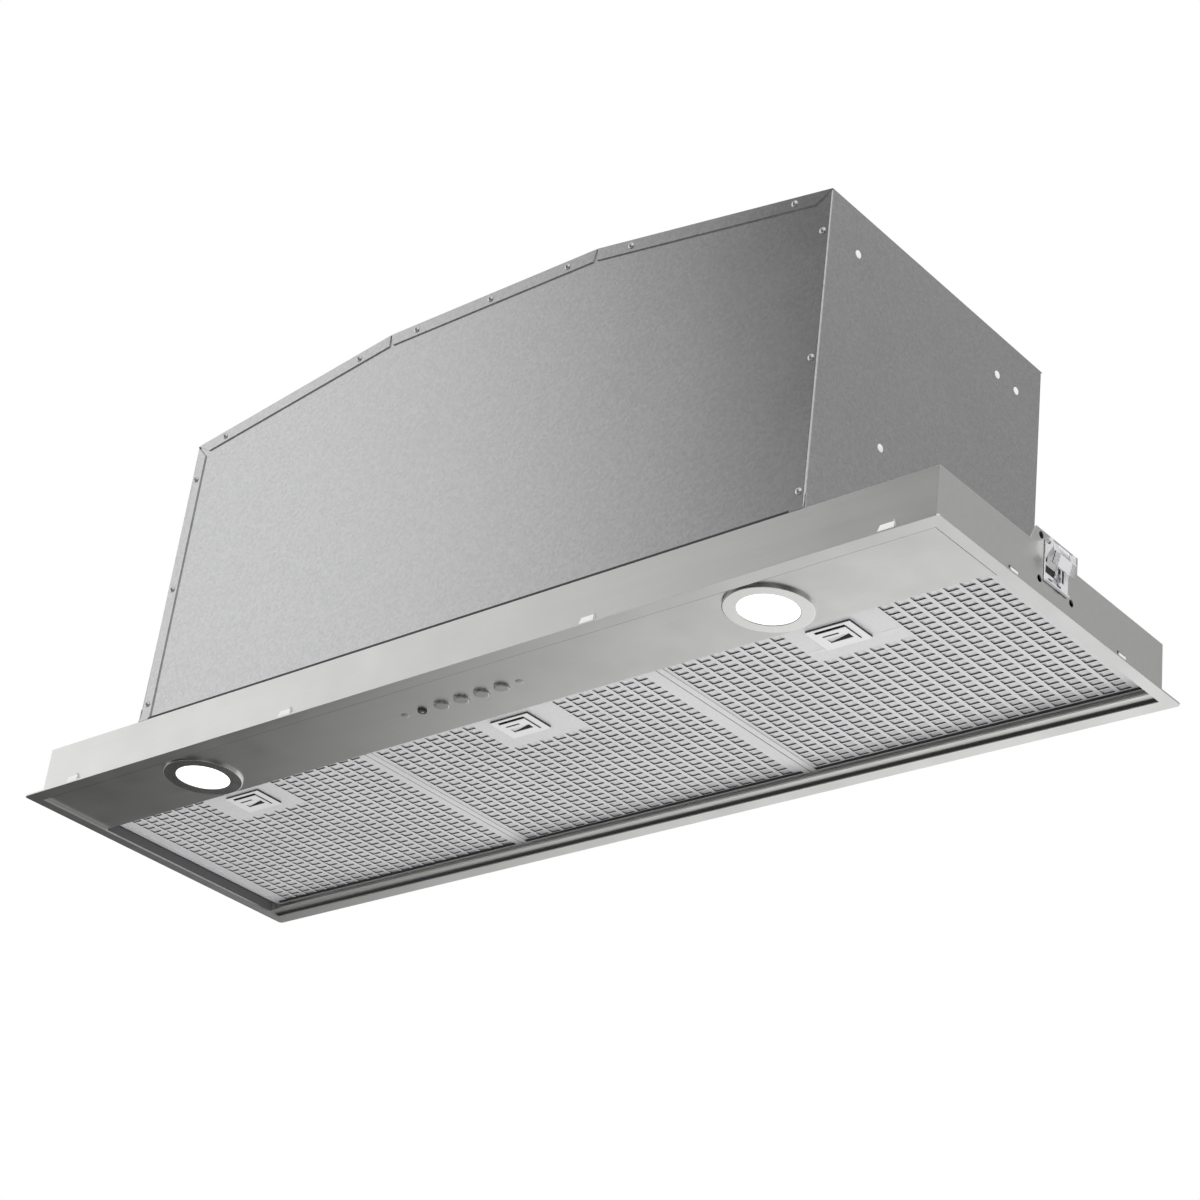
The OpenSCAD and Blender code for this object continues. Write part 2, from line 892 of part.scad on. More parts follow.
// Flap on the +Y side of the pin; inner says which knuckles are its own
module flap(inner) {
    difference() {
        union() {
            intersection() {
                translate([0, 0, flap_z])
                    cylinder(r = flap_r, h = flap_t);
                span([-flap_r, flap_r], [flap_edge, flap_r], [flap_z, flap_z + flap_t]);
            }
            if (inner)
                knuckle(-knuckle_x + knuckle_gap, knuckle_x - knuckle_gap);
            else
                both_sides()
                    knuckle(knuckle_x, knuckle_end_x);
        }
        bar_x(-flap_r, flap_r, 0, pin_z, pin_r + running_gap);
    }
}

module damper_flap_front() {
    color([0.35, 0.36, 0.38])
        mirror([0, 1, 0])
            flap(true);
}

module damper_flap_back() {
    color([0.3, 0.31, 0.33])
        flap(false);
}

// Blower

// Outline of the housing in Y and Z, drawn in by a wall where one is given
module scroll_outline(inset) {
    start_r = spiral_r0 - inset;
    spiral = [
        for (i = [0 : spiral_steps])
            let (
                a = spiral_a0 + (spiral_a1 - spiral_a0) * i / spiral_steps,
                r = start_r + (spiral_r1 - spiral_r0) * i / spiral_steps
            )
            [blower_y + r * cos(a), blower_z + r * sin(a)]
    ];
    throat_end = throat_top + (inset > 0 ? over : 0);
    polygon(concat(
        spiral,
        [
            [blower_y - spiral_r1 + inset, blower_z + throat_bend_rise],
            [-throat_r + inset, throat_end],
            [throat_r - inset, throat_end]
        ]
    ));
}

module scroll_half_shape() {
    difference() {
        union() {
            sideways(0, scroll_half)
                scroll_outline(0);
            span([0, scroll_half + scroll_flange_w],
                [-throat_r - scroll_flange_w, throat_r + scroll_flange_w],
                [throat_top - scroll_flange_t, throat_top]);
        }
        sideways(-over, scroll_half - scroll_t)
            scroll_outline(scroll_t);
        bar_x(0, scroll_half + over, blower_y, blower_z, inlet_d / 2);
        scroll_screw_places()
            cylinder(r = screw_shank_d / 2 + screw_fit, h = 4 * scroll_flange_t, center = true);
        span([-over, scroll_half - scroll_t], [-throat_r + scroll_t, throat_r - scroll_t],
            [throat_top - scroll_flange_t - over, throat_top + over]);
    }
}

module scroll_left() {
    color([0.2, 0.21, 0.22])
        mirror([1, 0, 0])
            scroll_half_shape();
}

module scroll_right() {
    color([0.22, 0.23, 0.24])
        scroll_half_shape();
}

module wheel_ring(x0, x1, r_in) {
    difference() {
        bar_x(x0, x1, 0, 0, wheel_r);
        bar_x(x0 - over, x1 + over, 0, 0, r_in);
    }
}

module impeller() {
    color([0.82, 0.83, 0.84])
        translate([0, blower_y, blower_z]) {
            difference() {
                union() {
                    wheel_ring(-wheel_w / 2, -wheel_w / 2 + wheel_ring_t, wheel_inner_r);
                    wheel_ring(wheel_w / 2 - wheel_ring_t, wheel_w / 2, wheel_inner_r);
                    bar_x(0, wheel_ring_t, 0, 0, wheel_r);
                    bar_x(hub_x0, hub_x0 + hub_l, 0, 0, hub_r);
                    for (i = [0 : blade_count - 1])
                        rotate([i * 360 / blade_count, 0, 0])
                            translate([0, wheel_inner_r + blade_t, 0])
                                rotate([blade_lean, 0, 0])
                                    span([-wheel_w / 2, wheel_w / 2], [0, blade_depth], [0, blade_t]);
                }
                bar_x(-wheel_w, wheel_w, 0, 0, shaft_r + hub_fit);
            }
        }
}

module motor_shaft() {
    color([0.7, 0.71, 0.72])
        bar_x(shaft_x0, shaft_x1, blower_y, blower_z, shaft_r);
}

module motor() {
    color([0.5, 0.51, 0.53])
        difference() {
            union() {
                bar_x(motor_back, motor_front, blower_y, blower_z, motor_r);
                bar_x(motor_front, motor_front + boss_l, blower_y, blower_z, boss_r);
            }
            bar_x(shaft_x0 - over, motor_front + boss_l + over, blower_y, blower_z,
                shaft_r + running_gap);
        }
}

module motor_bracket() {
    rim_r = inlet_d / 2 + bracket_rim_w;
    color([0.45, 0.46, 0.47])
        translate([0, blower_y, blower_z]) {
            difference() {
                bar_x(-scroll_half - bracket_t, -scroll_half, 0, 0, rim_r);
                bar_x(-scroll_half - bracket_t - over, -scroll_half + over, 0, 0, inlet_d / 2);
            }
            bar_x(motor_back - bracket_t, motor_back, 0, 0, bracket_hub_r);
            for (i = [0 : arm_count - 1])
                rotate([i * 360 / arm_count, 0, 0])
                    span([motor_back - bracket_t, motor_back], [bracket_hub_r / 2, inlet_d / 2 + over],
                        [-arm_w / 2, arm_w / 2]);
        }
}

module capacitor() {
    color([0.88, 0.88, 0.86]) {
        bar_x(scroll_half, scroll_half + capacitor_l, capacitor_y, capacitor_z, capacitor_d / 2);
        bar_x(scroll_half + capacitor_l, scroll_half + capacitor_l + boss_l,
            capacitor_y, capacitor_z, capacitor_d / 4);
    }
}

// Electrics

box_x1 = body_x - body_t;
box_x0 = box_x1 - control_box_d;

module control_box() {
    color([0.66, 0.67, 0.68])
        difference() {
            span([box_x0, box_x1], [-control_box_w / 2, control_box_w / 2],
                [box_z, box_z + control_box_h]);
            span([box_x0 - over, box_x1 - box_t],
                [-control_box_w / 2 + box_t, control_box_w / 2 - box_t],
                [box_z + box_t, box_z + control_box_h - box_t]);
        }
}

module control_box_lid() {
    color([0.62, 0.63, 0.64])
        span([box_x0 - box_t, box_x0], [-control_box_w / 2, control_box_w / 2],
            [box_z, box_z + control_box_h]);
}

module circuit_board() {
    board_x1 = box_x1 - box_t - standoff_l;
    inset = 2 * standoff_r;
    color([0.15, 0.4, 0.25]) {
        span([board_x1 - board_t, board_x1],
            [-control_box_w / 2 + inset, control_box_w / 2 - inset],
            [box_z + inset, box_z + control_box_h - inset]);
        for (sy = [-1, 1], sz = [-1, 1])
            bar_x(board_x1, box_x1 - box_t, sy * (control_box_w / 2 - 2 * inset),
                box_z + control_box_h / 2 + sz * (control_box_h / 2 - 2 * inset), standoff_r);
        span([board_x1 - board_t - relay_out, board_x1 - board_t],
            [-relay_w / 2, relay_w / 2],
            [box_z + control_box_h / 2 - relay_h, box_z + control_box_h / 2]);
    }
}

module led_driver() {
    color([0.92, 0.92, 0.9])
        span([driver_x, driver_x + driver_length], [panel_y - body_t - driver_t, panel_y - body_t],
            [driver_z, driver_z + driver_h]);
}

module cable_gland() {
    color([0.15, 0.15, 0.16])
        difference() {
            union() {
                translate([-body_x, gland_y, gland_z])
                    rotate([0, -90, 0])
                        cylinder(r = gland_hex_r, h = gland_flange_t, $fn = 6);
                bar_x(-body_x - gland_flange_t - gland_dome_l, -body_x - gland_flange_t,
                    gland_y, gland_z, gland_thread_r);
                bar_x(-body_x, -body_x + body_t + gland_nut_t + over, gland_y, gland_z, gland_thread_r);
                translate([-body_x + body_t, gland_y, gland_z])
                    rotate([0, 90, 0])
                        cylinder(r = gland_hex_r, h = gland_nut_t, $fn = 6);
            }
            bar_x(-body_x - 2 * gland_hex_r, -body_x + 2 * gland_hex_r, gland_y, gland_z,
                gland_bore_d / 2);
        }
}

// Lamps

module bezel() {
    difference() {
        union() {
            rotate_extrude()
                polygon([
                    [lens_r, 0], [bezel_r - bezel_chamfer, 0], [bezel_r, bezel_chamfer],
                    [bezel_r, pan_z], [lens_r, pan_z]
                ]);
            cylinder(r = tube_r, h = tube_top);
            for (a = [0, 180])
                rotate([0, 0, a])
                    span([tube_r - tube_t / 2, tube_r + ear_out], [-ear_w / 2, ear_w / 2],
                        [strip_top + seat_gap, strip_top + seat_gap + ear_h]);
        }
        translate([0, 0, -over])
            cylinder(r = lens_r, h = tube_top + 2 * over);
        translate([0, 0, bezel_lip_t])
            cylinder(r = tube_r - tube_t, h = tube_top);
    }
}

module lens() {
    translate([0, 0, bezel_lip_t])
        cylinder(r = tube_r - tube_t - running_gap, h = lens_t);
}

// Lamp module: a core with two fins above the tube of its bezel
module lamp_housing() {
    body_r = tube_r - tube_t - running_gap;
    foot = bezel_lip_t + lens_t;
    fin_h = (lamp_h - tube_top) / 4;
    translate([0, 0, foot])
        cylinder(r = body_r - tube_t, h = lamp_h - foot);
    translate([0, 0, foot])
        cylinder(r = body_r, h = tube_top + fin_h - foot);
    translate([0, 0, tube_top + 2 * fin_h])
        cylinder(r = body_r, h = fin_h);
}

module lamp_bezel_left() {
    color([0.35, 0.35, 0.35])
        translate(lamp_places[0])
            bezel();
}

module lamp_bezel_right() {
    color([0.78, 0.78, 0.77])
        translate(lamp_places[1])
            bezel();
}

module lamp_lens_left() {
    color("white")
        translate(lamp_places[0])
            lens();
}

module lamp_lens_right() {
    color("white")
        translate(lamp_places[1])
            lens();
}

module lamp_housing_left() {
    color([0.3, 0.3, 0.31])
        translate(lamp_places[0])
            lamp_housing();
}

module lamp_housing_right() {
    color([0.3, 0.3, 0.31])
        translate(lamp_places[1])
            lamp_housing();
}

// Buttons

// Push button at place i of the row: domed cap, retaining flange and stem
module button(i, d) {
    dome_r = (d * d / 4 + button_proud * button_proud) / (2 * button_proud);
    translate([button_x[i], strip_mid, 0]) {
        intersection() {
            translate([0, 0, pan_z - button_proud + dome_r])
                sphere(r = dome_r);
            translate([0, 0, pan_z - button_proud])
                cylinder(r = d / 2, h = button_proud + strip_t + seat_gap);
        }
        translate([0, 0, strip_top + seat_gap])
            cylinder(r = d / 2 + button_flange_w, h = button_flange_t);
        translate([0, 0, strip_top + seat_gap])
            cylinder(r = stem_r, h = stem_top - strip_top - seat_gap);
    }
}

module power_button() {
    color([0.25, 0.25, 0.26])
        button(0, small_button_d);
}

module light_button() {
    color([0.6, 0.6, 0.6])
        button(1, button_d);
}

module speed_button_1() {
    color([0.6, 0.6, 0.6])
        button(2, button_d);
}

module speed_button_2() {
    color([0.6, 0.6, 0.6])
        button(3, button_d);
}

module speed_button_3() {
    color([0.6, 0.6, 0.6])
        button(4, button_d);
}

module switch_housing() {
    color([0.18, 0.18, 0.19])
        translate([0, strip_mid, 0])
            difference() {
                span([-housing_half_l, housing_half_l], [-housing_half_d, housing_half_d],
                    [strip_top, housing_top]);
                span([-housing_cavity_l, housing_cavity_l],
                    [-housing_half_d + housing_t, housing_half_d - housing_t],
                    [strip_top - over, guide_z]);
                span([-housing_half_l + housing_t, housing_half_l - housing_t],
                    [-housing_half_d + housing_t, housing_half_d - housing_t],
                    [guide_z + guide_t, housing_top - housing_t]);
                for (x = button_x)
                    translate([x, 0, strip_top - over])
                        cylinder(r = stem_r + slide_gap, h = guide_z + guide_t);
                for (side = [-1, 1])
                    translate([side * stud_x, 0, strip_top - over])
                        cylinder(r = stud_r + running_gap, h = stud_l + 2 * over);
            }
}

module switch_board() {
    color([0.15, 0.4, 0.25])
        translate([0, strip_mid, 0]) {
            span([-housing_half_l + housing_t, housing_half_l - housing_t],
                [-housing_half_d + housing_t, housing_half_d - housing_t],
                [switch_z + switch_h, switch_z + switch_h + board_t]);
            for (x = button_x)
                span([x - switch_w / 2, x + switch_w / 2], [-switch_w / 2, switch_w / 2],
                    [switch_z, switch_z + switch_h]);
        }
}

// Spring clips on the side walls

module clip_bracket_right() {
    difference() {
        union() {
            span([wall_x, wall_x + clip_t], [clip_y - clip_w / 2, clip_y + clip_w / 2],
                [clip_z0, clip_z0 + clip_h]);
            for (y = [clip_y - clip_w / 2, clip_y + clip_w / 2 - clip_t])
                upright(y, y + clip_t)
                    polygon([
                        [wall_x, clip_z0 + clip_h], [wall_x + clip_cheek_out, clip_z0 + clip_h],
                        [wall_x + clip_cheek_out, clip_pivot_z - 2 * clip_eye_r],
                        [wall_x, clip_z0 + clip_h / 2]
                    ]);
        }
        clip_screw_place()
            cylinder(r = screw_shank_d / 2 + screw_fit, h = 4 * clip_t, center = true);
    }
    bar_y(wall_x + clip_pivot_out, clip_pivot_z, clip_y - clip_w / 2, clip_y + clip_w / 2, clip_pin_r);
}

module clip_brackets() {
    color([0.82, 0.83, 0.85])
        both_sides()
            clip_bracket_right();
}

// Leaf of the clip: an eye on the pin, an arm out to the knee and back to the toe
module spring_clip_shape() {
    eye_x = wall_x + clip_pivot_out;
    knee_x = wall_x + clip_reach;
    toe_x = wall_x + clip_toe_out;
    y0 = clip_y - clip_leaf_w / 2;
    y1 = clip_y + clip_leaf_w / 2;
    difference() {
        union() {
            bar_y(eye_x, clip_pivot_z, y0, y1, clip_eye_r);
            upright(y0, y1)
                polygon([
                    [eye_x + clip_eye_r, clip_pivot_z], [knee_x, clip_pivot_z - clip_knee_drop],
                    [toe_x, clip_pivot_z - clip_toe_drop],
                    [toe_x - clip_t, clip_pivot_z - clip_toe_drop],
                    [knee_x - clip_t, clip_pivot_z - clip_knee_drop],
                    [eye_x + clip_eye_r - clip_t, clip_pivot_z - clip_eye_r]
                ]);
        }
        bar_y(eye_x, clip_pivot_z, y0 - over, y1 + over, clip_pin_r + running_gap);
    }
}

module spring_clip_left() {
    color([0.88, 0.89, 0.9])
        mirror([1, 0, 0])
            spring_clip_shape();
}

module spring_clip_right() {
    color([0.88, 0.89, 0.9])
        spring_clip_shape();
}

// Filters; each of these is drawn about the middle of its cassette

module filter_frame_shape() {
    half_w = filter_w / 2;
    difference() {
        span([-half_w, half_w], [filter_front, filter_back], [filter_z, filter_top]);
        span([-half_w + rim_t, half_w - rim_t], [filter_front + rim_t, filter_back - rim_t],
            [filter_z + rim_t, filter_top - rim_t]);
        span([-half_w + rim_w, half_w - rim_w], [filter_front + rim_w, filter_back - rim_w],
            [filter_z - over, filter_top + over]);
        span([-nose_w / 2 - slide_gap, nose_w / 2 + slide_gap],
            [filter_front - over, filter_front + rim_t + over],
            [nose_z - slide_gap, nose_z + nose_t + slide_gap]);
    }
}

module filter_face_shape() {
    half_w = filter_w / 2 - rim_t;
    front = filter_front + rim_t;
    back = filter_back - rim_t;
    difference() {
        span([-half_w, half_w], [front, back], [filter_z + rim_t, filter_z + rim_t + face_t]);
        span([-latch_neck_w / 2, latch_neck_w / 2], [latch_neck_y0, latch_neck_y1],
            [filter_z, filter_z + rim_t + face_t + over]);
    }
    span([-half_w, half_w], [front, back], [filter_top - rim_t - face_t, filter_top - rim_t]);
}

module filter_mesh_shape() {
    half_w = filter_w / 2 - rim_t;
    low = filter_z + rim_t + face_t;
    high = filter_top - rim_t - face_t;
    pitch = (high - low - mesh_t) / (mesh_layers + 1);
    difference() {
        for (i = [1 : mesh_layers])
            span([-half_w, half_w], [filter_front + rim_t, filter_back - rim_t],
                [low + i * pitch, low + i * pitch + mesh_t]);
        span([-latch_w / 2 - slide_gap, latch_w / 2 + slide_gap],
            [filter_front, latch_y + latch_d + slide_gap], [low - over, high + over]);
    }
}

// Latch housing: a rim proud of the face, and a channel behind it for the carrier
module latch_housing_shape() {
    inner = filter_z + rim_t + face_t;
    cap_z = carrier_z + nose_t + slide_gap;
    difference() {
        union() {
            span([-latch_w / 2, latch_w / 2], [latch_y, latch_y + latch_d],
                [filter_z - latch_proud, filter_z + rim_t]);
            span([-latch_neck_w / 2, latch_neck_w / 2], [latch_neck_y0, latch_neck_y1],
                [filter_z, cap_z + latch_floor]);
        }
        span([-slider_w / 2 - slide_gap, slider_w / 2 + slide_gap], [window_y0, window_y1],
            [filter_z - latch_proud - over, carrier_z]);
        span([-latch_pocket_w / 2, latch_pocket_w / 2], [latch_y - over, latch_pocket_y1],
            [inner + latch_floor, cap_z]);
    }
}

// Slider: finger button in the window, carrier in the channel, nose out to the front
module latch_slider_shape() {
    button_z = filter_z - latch_proud - slider_proud;
    difference() {
        union() {
            span([-slider_w / 2, slider_w / 2], [slider_y0, slider_y1], [button_z, carrier_z + carrier_t]);
            span([-carrier_w / 2, carrier_w / 2], [latch_y, slider_y1],
                [carrier_z, carrier_z + carrier_t]);
            span([-nose_w / 2, nose_w / 2], [filter_front - nose_reach, latch_y + latch_rim],
                [nose_z, nose_z + nose_t - slide_gap]);
        }
        translate([0, slider_y0 + latch_rim, button_z])
            sideways(-slider_w / 2 + latch_rim, slider_w / 2 - latch_rim)
                polygon([
                    [0, -over], [slider_d - 2 * latch_rim, -over],
                    [slider_d - 2 * latch_rim, latch_proud + slider_proud], [0, 0]
                ]);
    }
}

module filter_place(i) {
    translate([i * filter_pitch, 0, 0])
        children();
}

module filter_frame_left() {
    color([0.78, 0.77, 0.78])
        filter_place(-1)
            filter_frame_shape();
}

module filter_frame_middle() {
    color([0.78, 0.77, 0.78])
        filter_place(0)
            filter_frame_shape();
}

module filter_frame_right() {
    color([0.78, 0.77, 0.78])
        filter_place(1)
            filter_frame_shape();
}

module filter_face_left() {
    color([0.74, 0.73, 0.74])
        filter_place(-1)
            filter_face_shape();
}

module filter_face_middle() {
    color([0.74, 0.73, 0.74])
        filter_place(0)
            filter_face_shape();
}

module filter_face_right() {
    color([0.74, 0.73, 0.74])
        filter_place(1)
            filter_face_shape();
}

module filter_mesh_left() {
    color([0.6, 0.6, 0.6])
        filter_place(-1)
            filter_mesh_shape();
}

module filter_mesh_middle() {
    color([0.6, 0.6, 0.6])
        filter_place(0)
            filter_mesh_shape();
}

module filter_mesh_right() {
    color([0.6, 0.6, 0.6])
        filter_place(1)
            filter_mesh_shape();
}

module latch_housing_left() {
    color([0.84, 0.84, 0.84])
        filter_place(-1)
            latch_housing_shape();
}

module latch_housing_middle() {
    color([0.84, 0.84, 0.84])
        filter_place(0)
            latch_housing_shape();
}

module latch_housing_right() {
    color([0.84, 0.84, 0.84])
        filter_place(1)
            latch_housing_shape();
}

module latch_slider_left() {
    color([0.8, 0.8, 0.8])
        filter_place(-1)
            latch_slider_shape();
}

module latch_slider_middle() {
    color([0.8, 0.8, 0.8])
        filter_place(0)
            latch_slider_shape();
}

module latch_slider_right() {
    color([0.8, 0.8, 0.8])
        filter_place(1)
            latch_slider_shape();
}

canopy_frame();
deck_left();
deck_right();
control_panel();
rear_rail();
front_panel();
back_panel();
side_panel_left();
side_panel_right();
top_wrapper();
body_rivets();
hole_plugs();
duct_collar();
sheet_screws();
damper_pin();
damper_flap_front();
damper_flap_back();
scroll_left();
scroll_right();
impeller();
motor_shaft();
motor();
motor_bracket();
capacitor();
control_box();
control_box_lid();
circuit_board();
led_driver();
cable_gland();
lamp_bezel_left();
lamp_bezel_right();
lamp_lens_left();
lamp_lens_right();
lamp_housing_left();
lamp_housing_right();
power_button();
light_button();
speed_button_1();
speed_button_2();
speed_button_3();
switch_housing();
switch_board();
spring_clip_left();
spring_clip_right();
clip_brackets();
filter_frame_left();
filter_face_left();
filter_mesh_left();
latch_housing_left();
latch_slider_left();
filter_frame_middle();
filter_face_middle();
filter_mesh_middle();
latch_housing_middle();
latch_slider_middle();
filter_frame_right();
filter_face_right();
filter_mesh_right();
latch_housing_right();
latch_slider_right();
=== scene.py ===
import json
import math

import bmesh
import bpy
from mathutils import Matrix, Vector


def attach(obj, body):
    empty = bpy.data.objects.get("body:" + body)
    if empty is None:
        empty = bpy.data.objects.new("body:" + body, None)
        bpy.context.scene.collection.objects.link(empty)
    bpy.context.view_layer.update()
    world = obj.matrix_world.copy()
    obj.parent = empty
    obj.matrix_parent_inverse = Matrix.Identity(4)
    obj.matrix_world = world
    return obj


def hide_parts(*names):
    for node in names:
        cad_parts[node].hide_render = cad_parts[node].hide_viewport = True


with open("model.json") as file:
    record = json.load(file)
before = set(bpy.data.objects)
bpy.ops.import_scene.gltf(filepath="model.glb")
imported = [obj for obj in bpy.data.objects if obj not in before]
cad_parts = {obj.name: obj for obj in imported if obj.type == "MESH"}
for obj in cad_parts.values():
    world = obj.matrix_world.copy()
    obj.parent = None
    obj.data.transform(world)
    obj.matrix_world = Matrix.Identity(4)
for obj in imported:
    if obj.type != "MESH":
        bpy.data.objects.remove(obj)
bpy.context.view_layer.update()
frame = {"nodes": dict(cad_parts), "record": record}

MM = 0.001
NODES = frame["nodes"]
BODY_OF = {n: b for b, ns in frame["record"]["behaviour"]["bodies"].items() for n in ns}
SIDES = ("left", "middle", "right")

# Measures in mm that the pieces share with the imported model
BODY_X = 318            # outer faces of the side panels
BODY_Y = 127.8          # outer faces of the front and back panels
FRAME_TOP = 44          # where the body stands on the frame
PANEL_RISE = 250.5      # height of the side panels above that
CROWN_X = 105           # half width of the roof's middle flat
CROWN_Z = 327.5         # its top
ROOF_DROP = 33          # fall of the roof from the crown to the side panels
WALL_X = 421.3          # outer faces of the frame's end walls
WALL_Y = 129            # outer face of its front wall
END_X = 420.08          # inner faces of the end walls
STRIP_MID = -94.75      # middle line of the control strip
STRIP_Z = 3.3           # its visible face
LAMP_X = 269.4
STUD_X = 55
BUTTONS = (("power_button", -38.2, 8.5), ("light_button", -19.1, 14), ("speed_button_1", 0, 14),
           ("speed_button_2", 19.1, 14), ("speed_button_3", 38.2, 14))
FILTER_PITCH = 279.73
FACE_LOW = 10.8         # visible face of a cassette
FACE_HIGH = 18.2        # its upper face
FACE_X = 138.5          # half width of both faces
FACE_Y = (-60.1, 125.9)
LATCH_Y = -47.5
LATCH_HOLE = (-16.9, 16.9, -46.4, -22.6)
CLIP_Y = -1

# Lanced cells of the filter faces, in mm, read from the photo
CELL_PHASE = {-1: (3.4, 1.3), 0: (-1.5, -1.3), 1: (-2.6, -2.0)}
CELL_PITCH_X, CELL_PITCH_Y = 12.4, 7.1
CELL_LEFT, CELL_RIGHT, CELL_LENGTH = 4.7, 4.6, 6.2
FIRST_CELL_END, FIRST_CELL_LIMIT = -49.9, -50
PLATEAU_X, PLATEAU_Y = 38, -13.0        # the plain field round the latch
LOW_LIFT, HIGH_LIFT = 1.1, -0.95
RISE_ACROSS = ((0.0, 0.8), (0.25, 0.82), (0.8, 0.9), (1.0, 0.0))
RISE_ALONG = ((0.0, 0.0), (0.2, 0.6), (0.7, 0.88), (1.0, 1.0))


# Camera

def set_camera():
    """The photo's camera, from a fit of about 70 points of the photo."""
    data = bpy.data.cameras.new("camera")
    data.sensor_width = 36
    data.lens = 82.147
    data.clip_start = 0.01
    camera = bpy.data.objects.new("camera", data)
    bpy.context.scene.collection.objects.link(camera)
    right = Vector((0.754324879, 0.646632761, 0.11340216))
    up = Vector((0.237035463, -0.429346277, 0.871479181))
    back = Vector((0.612215784, -0.630498094, -0.477141474))
    turn = Matrix((right, up, back)).transposed().to_4x4()
    camera.matrix_world = Matrix.Translation((1.253518, -1.261529, -0.833795)) @ turn
    bpy.context.scene.camera = camera


# Materials

class Shader:
    """A material with its texture coordinates in the part's own frame."""

    def __init__(self, name):
        self.mat = bpy.data.materials.new(name)
        self.mat.use_nodes = True
        self.nodes = self.mat.node_tree.nodes
        self.links = self.mat.node_tree.links
        self.bsdf = self.nodes["Principled BSDF"]
        self.coord = self.nodes.new("ShaderNodeTexCoord").outputs["Object"]

    def place(self, stretch):
        node = self.nodes.new("ShaderNodeMapping")
        node.inputs["Scale"].default_value = stretch
        self.links.new(self.coord, node.inputs["Vector"])
        return node.outputs["Vector"]

    def noise(self, scale, detail=2.0, rough=0.5, stretch=None):
        node = self.nodes.new("ShaderNodeTexNoise")
        node.inputs["Scale"].default_value = scale
        node.inputs["Detail"].default_value = detail
        node.inputs["Roughness"].default_value = rough
        self.links.new(self.place(stretch) if stretch else self.coord, node.inputs["Vector"])
        return node.outputs["Fac"]

    def cells(self, scale):
        node = self.nodes.new("ShaderNodeTexVoronoi")
        node.inputs["Scale"].default_value = scale
        self.links.new(self.coord, node.inputs["Vector"])
        bw = self.nodes.new("ShaderNodeRGBToBW")
        self.links.new(node.outputs["Color"], bw.inputs["Color"])
        return bw.outputs["Val"]

    def spread(self, fac, lo, hi, at0=0.0, at1=1.0):
        node = self.nodes.new("ShaderNodeMapRange")
        for key, value in (("From Min", lo), ("From Max", hi), ("To Min", at0), ("To Max", at1)):
            node.inputs[key].default_value = value
        self.links.new(fac, node.inputs["Value"])
        return node.outputs["Result"]

    def blend(self, a, b, share):
        """A share of a and the rest of b."""
        node = self.nodes.new("ShaderNodeMath")
        node.operation = "MULTIPLY_ADD"
        node.inputs[1].default_value = share
        self.links.new(a, node.inputs[0])
        scaled = self.nodes.new("ShaderNodeMath")
        scaled.operation = "MULTIPLY"
        scaled.inputs[1].default_value = 1 - share
        self.links.new(b, scaled.inputs[0])
        self.links.new(scaled.outputs[0], node.inputs[2])
        return node.outputs[0]

    def colour(self, fac, dark, light):
        node = self.nodes.new("ShaderNodeMix")
        node.data_type = "RGBA"
        node.inputs["A"].default_value = (*dark, 1)
        node.inputs["B"].default_value = (*light, 1)
        self.links.new(fac, node.inputs["Factor"])
        self.links.new(node.outputs["Result"], self.bsdf.inputs["Base Color"])

    def roughness(self, fac, lo, hi):
        self.links.new(self.spread(fac, 0.3, 0.7, lo, hi), self.bsdf.inputs["Roughness"])

    def bump(self, fac, strength, depth):
        node = self.nodes.new("ShaderNodeBump")
        node.inputs["Strength"].default_value = strength
        node.inputs["Distance"].default_value = depth * MM
        self.links.new(fac, node.inputs["Height"])
        self.links.new(node.outputs["Normal"], self.bsdf.inputs["Normal"])

    def set(self, **values):
        for key, value in values.items():
            self.bsdf.inputs[key.replace("_", " ")].default_value = value
        return self.mat


def shade(colour, share):
    return tuple(min(1, c * share) for c in colour)


def satin_sheet(name, colour, rough, spots=0.03, grain=(6, 260, 260)):
    """Rolled sheet with a fine grain along X and faint clouding."""
    s = Shader(name)
    lines = s.noise(1, 3, 0.6, grain)
    cloud = s.noise(9, 3)
    fac = s.spread(s.blend(lines, cloud, 0.5), 0.35, 0.65)
    s.colour(fac, shade(colour, 1 - spots), shade(colour, 1 + spots))
    s.roughness(s.blend(lines, s.noise(24, 4, 0.6), 0.4), rough - 0.03, rough + 0.05)
    s.bump(lines, 0.12, 0.05)
    return s.set(Metallic=1.0)


def spangled_sheet(name, colour, rough, spots=0.11):
    """Galvanised sheet: a fine crystalline speckle with faint clouding."""
    s = Shader(name)
    speckle = s.noise(560, 3, 0.75)
    spangle = s.cells(440)
    cloud = s.noise(9, 4, 0.6)
    fac = s.spread(s.blend(s.blend(spangle, speckle, 0.3), cloud, 0.8), 0.32, 0.68)
    s.colour(fac, shade(colour, 1 - spots), shade(colour, 1 + spots))
    s.roughness(cloud, rough - 0.012, rough + 0.022)
    s.bump(speckle, 0.1, 0.03)
    return s.set(Metallic=1.0)


def polished(name, colour, rough, spots=0.04, metallic=1.0):
    """Turned or plated metal with light smudges."""
    s = Shader(name)
    smudge = s.noise(60, 4, 0.6)
    fine = s.noise(1400, 2)
    s.colour(s.spread(smudge, 0.35, 0.65), shade(colour, 1 - spots), shade(colour, 1 + spots))
    s.roughness(s.blend(smudge, fine, 0.6), rough, rough + 0.06)
    s.bump(fine, 0.08, 0.03)
    return s.set(Metallic=metallic)


